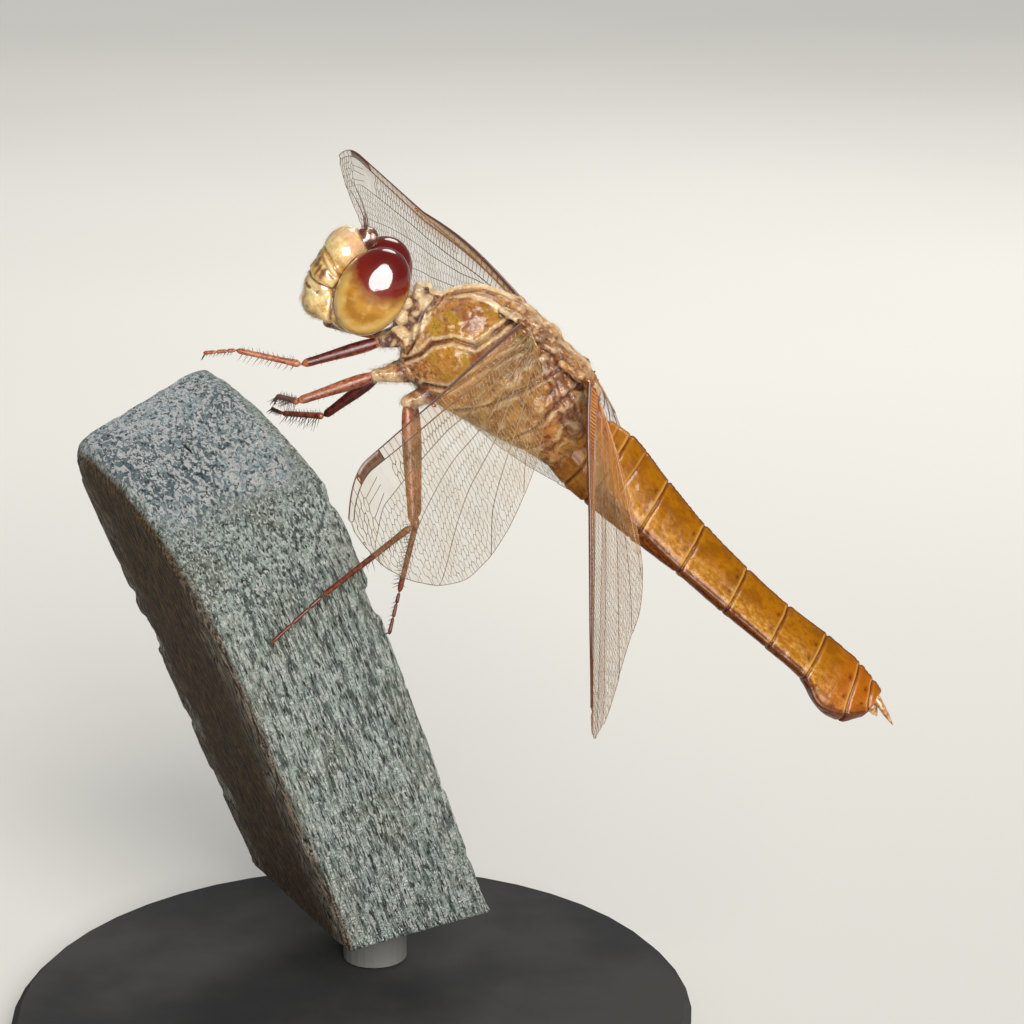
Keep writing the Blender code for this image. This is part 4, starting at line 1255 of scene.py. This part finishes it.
class Wing:
    """Places points given as span share, chord share and height on one wing."""

    def __init__(self, name, side, kind, amber, sweep_deg, dihedral, twist, washout, bow):
        root, self.length, chords, veins, self.nodus = kind
        self.name, self.side, self.amber, self.bow = name, side, amber, bow
        self.turn = (sweep_deg, dihedral, twist, washout)
        self.root = np.array(root) * (1, side, 1)
        self.chord_at = curve(chords)
        # the curve of each long vein, the span share where it ends, its radius and its lift
        self.veins = [(curve(rows), rows[-1][0] if rows[-1][1] in (0.0, 1.0) else 1.0, radius, lift)
                      for rows, radius, lift in veins]

    def lines(self, t):
        """Chord shares of every long vein and the margin at each span share."""
        shares = [np.clip(vein[0](t), 0, 1) for vein in self.veins] + [np.ones_like(t)]
        return np.maximum.accumulate(np.array(shares), axis=0)

    def height(self, t, f):
        """The corrugation: each long vein stands above or below the next."""
        lifts = np.array([vein[3] for vein in self.veins] + [0.0])
        apart = np.arange(len(lifts)) * 1e-6
        out = np.array([np.interp(share, line + apart, lifts) for share, line in zip(f, self.lines(t).T)])
        return out * (1 - 0.65 * t) * (0.5 + 0.5 * ramp(t, 0.0, 0.06))

    def place(self, t, f, raise_by=0.0):
        t, f = np.asarray(t, float), np.asarray(f, float)
        sweep_deg, dihedral, twist, washout = self.turn
        along, chord, up = wing_axes(self.side, sweep_deg, dihedral, twist + washout * t)
        bend = 2.2 * np.maximum(0.0, (t - 0.85) / 0.15) ** 2
        arch = self.bow * np.sin(math.pi * np.minimum(1.0, t / ARCH_END))
        behind = bend - arch + f * self.chord_at(t)
        lift = self.height(t, f) + raise_by
        out, back, high = (c[:, None] for c in (t * self.length, behind, lift))
        return self.root + along * out - chord * back + up * high, up

    def wash(self, t, f):
        """How amber the wing is: strongest at the base and along the front edge."""
        edge = (1 - ramp(f, 0.06, 0.26)) * (1 - ramp(t, self.nodus - 0.15, self.nodus + 0.25))
        base = 1 - ramp(t + 0.12 * f, 0.03, 0.10 + 0.4 * max(0.0, self.amber - 0.35))
        tipward = 0.3 * (1 - ramp(f, 0.03, 0.12))
        overall = np.full(len(f), 0.16 * ramp(self.amber, 0.4, 0.7))
        parts = [self.amber * edge, (1.2 * self.amber - 0.2) * base, self.amber * tipward, overall]
        return np.clip(np.maximum.reduce(parts), 0, 1)


def strip_veins(wing, k, steps=240):
    """Cross veins and cells between long vein k and the next, as span and chord shares."""
    t = np.linspace(0.012, 0.992, steps)
    low, high = wing.lines(t)[k:k + 2]
    width = (high - low) * wing.chord_at(t)
    out = []
    start = 0
    while start < steps - 1:
        if width[start] < THINNEST_STRIP:
            start += 1
            continue
        row_height = ROW_HEIGHTS[0 if t[start] < wing.nodus else 1]
        rows = max(1, int(round(width[start] / row_height)))
        end = start + 1
        while (end < steps - 1 and width[end] >= THINNEST_STRIP
               and abs(width[end] / row_height - rows) < 0.75):
            end += 1
        out += block(wing, k, rows, t, low, high, start, end)
        start = end
    return out


def block(wing, k, rows, t, low, high, start, end):
    """Cell walls of one stretch of a strip with a fixed number of rows, staggered row by row."""
    u0, u1 = t[start], t[end]
    if k < 2:
        pitch = CROSS_PITCH[0 if wing.amber > 0.7 else 1] / wing.length
    else:
        pitch = CELL_PITCH[0 if rows == 1 else 1] / wing.length
    count = max(1, int(round((u1 - u0) / pitch)))
    segments = []
    edges = [[] for _ in range(rows + 1)]
    for j in range(rows):
        offset = 0.5 if j % 2 else 0.0
        for i in range(count):
            u = u0 + (i + offset + 0.16 * (RNG.random() - 0.5)) * (u1 - u0) / count
            u = min(max(u, u0), u1)
            if k in (1, 2) and STIGMA_CLEAR[0] < u < STIGMA_CLEAR[1]:
                continue  # the pterostigma has no cells
            a, b = np.interp(u, t, low), np.interp(u, t, high)
            wide = (b - a) / rows
            top = a + j * wide + (ZIGZAG * wide if j > 0 else 0)
            bottom = a + (j + 1) * wide - (ZIGZAG * wide if j < rows - 1 else 0)
            lean = 0.10 * (RNG.random() - 0.5) * (u1 - u0) / count
            segments.append((u - lean, top, u + lean, bottom))
            edges[j].append((u - lean, top))
            edges[j + 1].append((u + lean, bottom))
    for j in range(1, rows):
        ends = sorted(edges[j])
        if start > 0:
            ends.insert(0, (u0, low[start] + (high[start] - low[start]) * j / rows))
        segments += [(*p, *q) for p, q in zip(ends, ends[1:])]
    return segments


def build_wing(spec, veins_look, skin_look, stigma_look):
    """The veins with their knobs, the membrane and the pterostigma of one wing."""
    wing = Wing(*spec)
    name = wing.name
    span = np.linspace(0.0, 0.998, 150)
    lines = wing.lines(span)
    ones = np.ones(len(span))
    stout = ramp(wing.amber, 0.75, 0.95)
    made = []

    def add(t0, f0, t1, f1, radius, lead=0.0):
        """Rods from (t0, f0) to (t1, f1) with their markings."""
        start, up = wing.place(t0, f0)
        end, _ = wing.place(t1, f1)
        soft = (1 - ramp(t0, 0.28, 0.5)) * ramp(f0, 0.02, 0.08) * (1 - ramp(wing.amber, 0.4, 0.5))
        flat = [np.broadcast_to(value, len(start)) for value in (radius, wing.wash(t0, f0), lead, soft)]
        made.append((start, end, up, *flat))

    for k, (_, last, radius, _) in enumerate(wing.veins):
        keep = span <= last
        t, f = span[keep], lines[k][keep]
        thick = radius * (1 - 0.55 * t[:-1])
        if k == 0:
            thick = thick * (1 + 0.9 * (1 - ramp(t[:-1], 0.25, 0.6)) + 1.3 * stout * ramp(t[:-1], 0.2, 0.6))
        if k == 2:
            thick = thick * (1 + 1.0 * stout * ramp(t[:-1], 0.1, 0.5))
        add(t[:-1], f[:-1], t[1:], f[1:], thick, {0: 0.9, 2: 0.25 + 0.5 * stout}.get(k, 0.0))
    add(span[:-1], ones[:-1], span[1:], ones[1:], MARGIN_RADIUS)
    # closing rods at the tip and the root
    across = np.linspace(0, 1, 8)
    for t, radius in ((0.998, 0.04), (0.002, 0.08)):
        add(np.full(7, t), across[:-1], np.full(7, t), across[1:], radius)
    for k in range(len(wing.veins)):
        walls = np.array(strip_veins(wing, k))
        if len(walls):
            thick = np.full(len(walls), WALL_RADII[0 if k < 3 else 1])
            if k < 2:
                thick = thick + 0.11 * wing.amber**2 * (1 - ramp(walls[:, 0], 0.08, 0.28))
            add(*walls.T, thick)
    starts, ends, up, radii, wash, lead, soft = (np.concatenate(column) for column in zip(*made))
    parts = [rods(starts, ends, radii, up)]
    rod_points = len(parts[0][0])
    # knobs at the nodus and at the hinge
    for t, f, size in ((wing.nodus, 0.02, 0.17), (0.015, 0.0, 0.36), (0.02, 0.2, 0.3)):
        middle = wing.place([t], [f])[0][0]
        parts.append(ball(middle, (size * 1.4, size, size * 0.7), 0, 14, 10))
    points, faces = join(parts)
    marks = {
        key: np.concatenate([np.repeat(values, 8), np.full(len(points) - rod_points, knob)])
        for key, values, knob in (("wash", wash, wing.amber), ("lead", lead, 0.5), ("soft", soft, 0.0))
    }
    finish_piece(make_mesh(name + "_veins", points, faces, marks), veins_look, "wing")

    thirds = np.linspace(0, 1, 4)[:-1]
    f = np.array([low + (high - low) * s for low, high in zip(lines, lines[1:]) for s in thirds] + [ones])
    rows, cols = f.shape
    t = np.broadcast_to(span, f.shape).ravel()
    f = f.ravel()
    i, j = np.meshgrid(np.arange(rows - 1), np.arange(cols - 1), indexing="ij")
    a = (i * cols + j).ravel()
    quads = np.stack([a, a + 1, a + cols + 1, a + cols], 1)
    # the front edge's gold is partly the film's own and partly painted sheen
    gold_and_sheen = (1 - ramp(f, 0.07, 0.13)) * (1 - ramp(t, wing.nodus + 0.25, wing.nodus + 0.4))
    gold_and_sheen = gold_and_sheen * ramp(wing.amber, 0.4, 0.7) * (1 - ramp(wing.amber, 0.7, 0.9))
    marks = {"wash": wing.wash(t, f), "gold_and_sheen": gold_and_sheen}
    film = make_mesh(name + "_membrane", wing.place(t, f)[0], [quads], marks)
    finish_piece(film, skin_look, "wing", name)

    t = np.linspace(*STIGMA_SPAN, 14)
    rings = [
        wing.place(np.full(4, at), (0.0, share, share, 0.0), np.array([0.07, 0.07, -0.07, -0.07]))[0]
        for at, share in zip(t, wing.lines(t)[2])
    ]
    plate = make_mesh(name + "_pterostigma", *loft(rings), smooth=False)
    finish_piece(plate, stigma_look, "wing")


# ---------------------------------------------------------------- legs


def leg_tone(name, part, share, under):
    """0 is dark maroon, 0.5 pink-tan, 1 pale, along and around a leg. The right mid femur's dark tone is
    painted shade; the mid-left knee and the tops of the hind femora are paler as painted highlight.
    """
    fore = name.startswith("fore")
    if part == "tarsus":
        return (0.40 if fore else 0.16) + 0.15 * ramp(share, 0.8, 1.0)
    if part == "tibia":
        return (0.5 if fore else 0.24) + 0.2 * ramp(-under, 0.2, 0.8) + 0.3 * (1 - ramp(share, 0.0, 0.06))
    at_hip = 1 - ramp(share, 0.0, 0.12)
    if fore:
        return 0.05 + 0.6 * ramp(under, 0.0, 0.6) + 0.5 * ramp(share, 0.88, 0.97) + 0.8 * at_hip
    if name == "mid_right":
        # painted shade: this femur is kept dark
        return 0.05 + 0.3 * ramp(under, 0.4, 0.9) + 0.6 * at_hip
    if name == "mid_left":
        # the pale knee end is a painted highlight
        return 0.28 + 0.3 * ramp(-under, 0.1, 0.7) + 0.4 * ramp(share, 0.92, 0.98)
    # the lighter top of the hind femora is a painted highlight
    return 0.34 + 0.10 * np.sin(share * 11) + 0.3 * ramp(-under, 0.3, 0.9) + 0.25 * ramp(share, 0.92, 1.0)


def limb(a, b, radii, sides=18, steps=34):
    """A rod with rounded ends, and each point's share of the length and depth below the axis."""
    a, b = np.array(a, float), np.array(b, float)
    share = np.linspace(0, 1, steps)
    path = a + (b - a) * share[:, None]
    shape = np.interp(share, np.linspace(0, 1, len(radii)), radii)
    cap = np.sqrt(np.clip(np.minimum(share, 1 - share) * steps / 2.2, 0.02, 1))
    points, faces = sweep(path, shape * cap, sides)
    shares = np.concatenate([np.repeat(share, sides), [0, 1]])
    axis = a + (b - a) * shares[:, None]
    under = np.clip((axis - points)[:, 2] / max(radii), -1, 1)
    return points, faces, shares, under


def spikes(a, b, lean, rows, count, length, radius, spread=0.5):
    """Rows of bristles on a limb from a to b, leaning towards its far end."""
    a, b = np.array(a, float), np.array(b, float)
    d = (b - a) / np.linalg.norm(b - a)
    down = np.array(lean, float)
    down -= d * down.dot(d)
    down /= np.linalg.norm(down)
    out = np.cross(d, down)
    starts, ends = [], []
    for row in rows:
        way = math.cos(row) * down + math.sin(row) * out
        for i in range(count):
            s = 0.08 + 0.86 * (i + 0.5 * RNG.random()) / count
            p = a + (b - a) * s + way * 0.12
            size = length * (0.7 + 0.5 * RNG.random()) * (1 - 0.35 * s)
            tip = p + (way + d * spread + out * 0.15 * (RNG.random() - 0.5)) * size
            starts.append(p)
            ends.append(tip)
    normals = np.tile(out + 0.01, (len(starts), 1))
    return rods(starts, ends, np.full(len(starts), radius), normals, np.full(len(starts), radius * 0.15))


def claw_pair(tip, heading, down, size):
    """Two hooked claws that bend apart and downwards."""
    parts = []
    across = np.cross(heading, down)
    turn = CLAW_CURL * np.linspace(0, 1, 9)[:, None]
    for way in (-1, 1):
        hook = heading * 0.75 * turn / CLAW_CURL + down * 0.55 * (1 - np.cos(turn))
        path = tip + size * hook + across * way * 0.12 * np.sin(turn)
        parts.append(sweep(path, np.linspace(0.085, 0.015, 9), 8))
    return parts


def build_leg(name, joints, skin, dark):
    """Femur, tibia and three tarsus pieces as one mesh; claws and spines as another."""
    _, hip, knee, ankle, toe = (np.array(j) for j in joints)
    hind = name.startswith("hind")
    down = np.array((-0.3 if name.startswith("fore") else 0.0, 0.0, -1.0))
    thigh = (0.34, 0.5, 0.54, 0.5, 0.44, 0.38, 0.36) if hind else (0.34, 0.5, 0.5, 0.42, 0.36, 0.34)
    shapes = [
        ("femur", hip, knee, thigh),
        ("tibia", knee, ankle, (0.32, 0.25, 0.24, 0.23, 0.22, 0.24)),
    ]
    for low, high in ((0.0, 0.26), (0.24, 0.6), (0.58, 1.0)):
        ends = (ankle + (toe - ankle) * low, ankle + (toe - ankle) * high)
        shapes.append(("tarsus", *ends, (0.13, 0.15, 0.17), 12, 14))
    pieces, tones = [], []
    for part, *shape in shapes:
        points, faces, share, under = limb(*shape)
        pieces.append((points, faces))
        tones.append(leg_tone(name, part, share, under))
    piece = make_mesh(f"leg_{name}", *join(pieces), {"tone": np.concatenate(tones)})
    finish_piece(piece, skin, "leg", *(f"{part}_{name}" for part in ("femur", "tibia", "tarsus")))

    heading = (toe - ankle) / np.linalg.norm(toe - ankle)
    under = down - heading * down.dot(heading)
    under /= np.linalg.norm(under)
    parts = claw_pair(toe - heading * 0.35, heading, under, 0.75)
    comb = 1.25 if name.startswith("mid") else 0.95
    for row in (
        (hip, knee, down, (-0.6, 0.6, 2.6, 3.6), 10 if hind else 8, 0.55, 0.035),
        (knee, ankle, down, (-0.55, 0.55), 14 if hind else 11, comb, 0.042, 0.4),
        (knee, ankle, -down, (-0.4, 0.4), 11, 0.5, 0.032),
        (ankle, toe, down, (-0.5, 0.5), 8, 0.4, 0.028, 0.7),
    ):
        parts.append(spikes(*row))
    finish_piece(make_mesh(f"spines_{name}", *join(parts)), dark, "claw")


# ---------------------------------------------------------------- hair


def build_hair(name, skin, count, want, length, thick, lie, stand, look, slot, unwrap):
    """Curved three-sided hairs rooted on a skin; each keeps its root's place and markings.

    want weighs the skin's places; lie is the way the hairs lean and stand how steeply they rise.
    """
    points, quads, normals, marks = skin
    corners = points[quads]
    centre = corners.mean(1)
    diagonals = (corners[:, 2] - corners[:, 0], corners[:, 3] - corners[:, 1])
    area = np.linalg.norm(np.cross(*diagonals), axis=1) / 2
    weight = area * want(centre)
    picks = RNG.choice(len(quads), count, p=weight / weight.sum())
    mix = RNG.dirichlet((1, 1, 1, 1), count)
    root = (corners[picks] * mix[:, :, None]).sum(1)
    normal = normals[quads[picks]].mean(1)
    flow = np.array(lie, float) + 0.45 * RNG.normal(size=(count, 3))
    flow -= normal * (flow * normal).sum(1)[:, None]
    flow /= np.linalg.norm(flow, axis=1)[:, None]
    size = length * (0.55 + 0.9 * RNG.random(count))[:, None]
    rise = stand * (0.6 + 0.8 * RNG.random(count))[:, None]
    middle = root + (normal * rise + flow * (1 - rise)) * size * 0.55
    tip = middle + (normal * rise * 0.45 + flow) * size * 0.5
    across = np.cross(normal, flow)
    base = root - normal * 0.05
    rings = []
    for place, wide in ((base, thick), (middle, thick * 0.75)):
        for a in HAIR_CORNERS:
            rings.append(place + wide * (math.cos(a) * across + math.sin(a) * normal))
    hair = np.stack([*rings, tip], 1)
    index = np.arange(count)[:, None] * 7
    quads_out = [index + np.array(q) for q in ((0, 1, 4, 3), (1, 2, 5, 4), (2, 0, 3, 5))]
    tris = [index + np.array(q) for q in ((3, 4, 6), (4, 5, 6), (5, 3, 6))]
    own = {k: np.repeat(v[quads[picks]].mean(1), 7) for k, v in marks.items()}
    obj = make_mesh(name, hair.reshape(-1, 3), [np.concatenate(quads_out), np.concatenate(tris)], own)
    at = obj.data.attributes["at"]
    at.data.foreach_set("vector", np.repeat(root, 7, 0).astype(np.float32).ravel())
    layer = obj.data.uv_layers.new(name="OFBake")
    spot = unwrap(root)
    offsets = np.array([(0, 0), (1, 0), (0.5, 0.3), (0, 0.6), (1, 0.6), (0.5, 0.8), (0.5, 1)])
    offsets = offsets * HAIR_ON_MAP - HAIR_ON_MAP / 2
    per_point = (spot[:, None, :] + offsets[None]).reshape(-1, 2)
    loops = np.empty(len(obj.data.loops), np.int32)
    obj.data.loops.foreach_get("vertex_index", loops)
    layer.data.foreach_set("uv", per_point[loops].astype(np.float32).ravel())
    return finish_piece(obj, look, slot)


def barrel_unwrap(low, high, z_axis):
    """Unrolls points about an axis along x, from low to high, into the middle of the map."""

    def at(p):
        around = np.arctan2(p[:, 1], p[:, 2] - z_axis) / (2 * math.pi) + 0.5
        along = (p[:, 0] - low) / (high - low)
        return np.stack([0.02 + 0.96 * around, 0.02 + 0.96 * np.clip(along, 0, 1)], 1)

    return at


# ---------------------------------------------------------------- stake and stand


def weathered(points, dome):
    """Slopes the stake's near side back towards the top and lifts its middle by the dome."""
    x, y, z = points.T
    back = 2 * y / STAKE_DEPTH
    high = np.clip(1 + (z - STAKE_CROWN) / STAKE_SLOPE_HEIGHT, 0, 1)
    slope = STAKE_SLOPE * (0.75 - 0.5 * x / STAKE_WIDTH) * np.maximum(0, -back) * high**1.5
    return np.column_stack([x, y + slope, z + dome * (1 - back**2)])


def stake_outline(width, depth, radius, side_steps):
    """A rectangle with rounded corners, as one ring of points."""
    corners = []
    for sx, sy, start in ((1, 1, 0), (-1, 1, 90), (-1, -1, 180), (1, -1, 270)):
        a = np.radians(start + 90 * np.arange(STAKE_CORNER_STEPS + 1) / STAKE_CORNER_STEPS)
        middle = (sx * (width / 2 - radius), sy * (depth / 2 - radius))
        corners.append(middle + radius * np.column_stack([np.cos(a), np.sin(a)]))
    ring = []
    for arc, following in zip(corners, corners[1:] + corners[:1]):
        share = np.arange(1, side_steps)[:, None] / side_steps
        ring += [arc, arc[-1] + (following[0] - arc[-1]) * share]
    return np.concatenate(ring)


def build_stake():
    """A worn, square-cut stake: rings up the sides, then over the crown to its middle."""
    side_steps, rings_up = ((44, 190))
    m = np.array(STAKE_TO_ROW)
    sides = stake_outline(STAKE_WIDTH, STAKE_DEPTH, STAKE_EDGE, side_steps)
    foot = (STAKE_FOOT_Z * MM - m[2, 3] - sides @ m[2, :2]) / m[2, 2]
    shoulder = STAKE_CROWN - STAKE_WEAR
    rings = []
    for s in np.linspace(0, 1, rings_up):
        arch = STAKE_DOME * ramp(s, 0.72, 1.0)
        rings.append(weathered(np.column_stack([sides, foot + (shoulder - foot) * s]), arch))
    for step in range(1, STAKE_CROWN_STEPS + 1):
        a = math.pi / 2 * step / STAKE_CROWN_STEPS
        inset = STAKE_WEAR * (1 - math.cos(a))
        size = (STAKE_WIDTH - 2 * inset, STAKE_DEPTH - 2 * inset)
        ring = stake_outline(*size, STAKE_EDGE + 0.8 * inset, side_steps)
        z = np.full(len(ring), shoulder + STAKE_WEAR * math.sin(a))
        rings.append(weathered(np.column_stack([ring, z]), STAKE_DOME))
    last = stake_outline(*size, STAKE_EDGE + 0.8 * STAKE_WEAR, side_steps)
    for s in np.linspace(1, 0.02, STAKE_TOP_RINGS)[1:]:
        flat = np.column_stack([last * s, np.full(len(last), STAKE_CROWN)])
        rings.append(weathered(flat, STAKE_DOME))
    points, faces = loft(rings)
    points[-1] = rings[-1].mean(0)
    per = len(sides)
    crown = np.zeros(len(points))
    inset_share = np.clip((np.arange(len(rings)) - rings_up + 1) / STAKE_CROWN_STEPS, 0, 1)
    crown[:len(rings) * per] = np.repeat(inset_share, per)
    crown[-1] = 1.0
    x, y, z = points.T
    w, d = STAKE_WIDTH / 2, STAKE_DEPTH / 2
    corner = ramp(np.minimum(w - np.abs(x), d - np.abs(y)), 1.6, 0.0)
    corner = corner * ramp(np.abs(x) / w + np.abs(y) / d, 1.5, 1.95)
    toward = np.column_stack([-x / w, -y / d, np.zeros(len(x))])
    toward /= np.linalg.norm(toward, axis=1)[:, None] + 1e-9
    long_grain = points * np.array((1.8, 1.8, 0.28))
    cut = 0.22 + 0.17 * grain(long_grain, 1.0, 1, 5)
    chip = corner * ramp(grain(points * np.array((1, 1, 0.55)), 0.6, 3), 0.0, 0.5)
    cut = cut + 0.55 * chip
    world_z = (points @ m[2, :3] + m[2, 3]) / MM
    free = ramp(world_z, STAKE_FOOT_Z + 0.1, STAKE_FOOT_Z + 1.0)
    points = points + toward * (cut * (1 - 0.8 * crown) * (0.5 + 0.5 * free))[:, None]
    points[:, 2] -= crown * (0.25 + 0.15 * grain(points, 0.8, 5, 4) + 0.12 * grain(points, 2.6, 6, 2))
    crack = bump(np.hypot((x + 0.3) / 0.16, (y + 0.4) / 0.95), 1.0) * crown
    points[:, 2] -= 0.35 * crack
    edge = ramp(crown + 0.25 * grain(points, 0.9, 7), 0.35, 0.75)
    marks = {
        "end": edge,
        # worn corners, also used for a painted edge highlight
        "wear": np.clip(0.8 * chip + 0.25 * corner, 0, 1) * (1 - edge),
        # the left face is marked for painted shade
        "shade": ramp(-x, 6.0, 6.7) * (1 - edge),
        "crack": ramp(crack, 0.35, 0.7),
    }
    piece = make_mesh("stake_wood", points, faces, marks, STAKE_TO_ROW)
    finish_piece(piece, wood_look(), "weathered_wood", "perch_stake")


def dress_stand():
    looks = {
        "stand_base": stand_look("stand_base_satin", (0.045, 0.045, 0.047), (0.065, 0.064, 0.062)),
        "stand_rod": stand_look("stand_rod_satin", (0.16, 0.16, 0.16), (0.22, 0.215, 0.205)),
    }
    for node, look in looks.items():
        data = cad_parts[node].data
        data.materials.clear()
        data.materials.append(look)


# ---------------------------------------------------------------- stage, light, camera


def looking(way):
    """The rotation of a light that shines this way."""
    return way.to_track_quat("-Z", "Y").to_euler()


def light(name, offset, size, power, colour):
    """A soft disk aimed at the insect from an offset."""
    lamp = bpy.data.lights.new(name, "AREA")
    lamp.shape = "DISK"
    lamp.size = size
    lamp.energy = power
    lamp.color = colour
    aim = Vector(BODY_AT) * MM
    at = aim + Vector(offset)
    return put_object(name, lamp, at, looking(aim - at))


def build_stage():
    """A plain pale floor, soft studio light and the camera at the photo's angle."""
    bm = bmesh.new()
    bmesh.ops.create_grid(bm, x_segments=8, y_segments=8, size=6.0)
    data = bpy.data.meshes.new("floor")
    bm.to_mesh(data)
    bm.free()
    floor = put_object("floor", data)
    look = Look("floor_paper", plain=True, Specular_IOR_Level=0.0)
    paper = look.over((0.72, 0.71, 0.68), (0.76, 0.75, 0.72), look.noise(3.0, 2.0), 0.3, 0.7)
    data.materials.append(look.finish(paper, 0.9))

    world = bpy.data.worlds.new("studio")
    bpy.context.scene.world = world
    world.use_nodes = True
    background = world.node_tree.nodes["Background"]
    background.inputs[0].default_value = (0.88, 0.95, 1.0, 1.0)
    background.inputs[1].default_value = 0.20
    sun = bpy.data.lights.new("key", "SUN")
    sun.energy = 3.5
    sun.angle = math.radians(28)
    sun.color = (1.0, 0.965, 0.91)
    put_object("key", sun, turn=looking(-Vector(KEY_FROM)))
    # only glosses see the sheen light: it draws the highlight on the eye
    sheen = light("sheen", (0.09, -0.47, 0.115), 0.44, 10.5, (1.0, 0.99, 0.97))
    sheen.visible_diffuse = False
    light("rim", (0.12, 0.40, 0.42), 0.30, 1.6, (1.0, 0.97, 0.92))

    lens = bpy.data.cameras.new("camera")
    lens.sensor_width = 36.0
    lens.lens = CAMERA_LENS
    lens.clip_start = 0.01
    lens.clip_end = 50.0
    tilt = (math.radians(CAMERA_TILT), 0.0, 0.0)
    bpy.context.scene.camera = put_object("camera", lens, CAMERA_AT, tilt)
    bpy.context.scene.view_settings.view_transform = "Standard"


def hair_on_thorax(at):
    x, _, z = at.T
    return 0.10 + 1.2 * ramp(x, 9.0, 10.5) + 1.0 * ramp(-z, 2.4, 4.2) + 0.5 * ramp(z, 4.6, 5.6)


def hair_on_head(at):
    x, _, z = at.T
    return 0.35 * ramp(x, 14.5, 16.5) + 1.5 * ramp(-z, 3.2, 4.4) + 0.6 * ramp(12.9 - x, 0, 0.5)


def main():
    skins = build_body()
    build_eyes()
    build_feelers()
    build_tail()
    veins, membrane = vein_look(), membrane_look()
    stigma = plain_cuticle("pterostigma", (0.10, 0.035, 0.012), (0.20, 0.075, 0.02), 0.35, 1.5)
    for spec in WINGS:
        build_wing(spec, veins, membrane, stigma)
    leg_skin = leg_look()
    spine = plain_cuticle("spine", (0.02, 0.008, 0.006), (0.06, 0.02, 0.012), 0.35)
    for name, joints in LEG_JOINTS.items():
        build_leg(name, joints, leg_skin, spine)
    pale_hair = hair_look("thorax_hair", (0.62, 0.46, 0.30), 0.5)
    face_hair = hair_look("face_hair", (0.66, 0.52, 0.34), 0.3)
    few = 1.0
    build_hair(
        "thorax_hair", skins["thorax_skin"], int(THORAX_HAIRS * few), hair_on_thorax,
        0.55, 0.010, (-0.6, 0, -0.5), 0.45, pale_hair, "thorax", barrel_unwrap(-6.0, 12.1, 1.0),
    )
    build_hair(
        "face_hair", skins["head_skin"], int(FACE_HAIRS * few), hair_on_head,
        0.34, 0.008, (0.2, 0, -0.8), 0.55, face_hair, "face", barrel_unwrap(12.0, 20.0, -1.0),
    )
    build_stake()
    dress_stand()
    build_stage()


main()
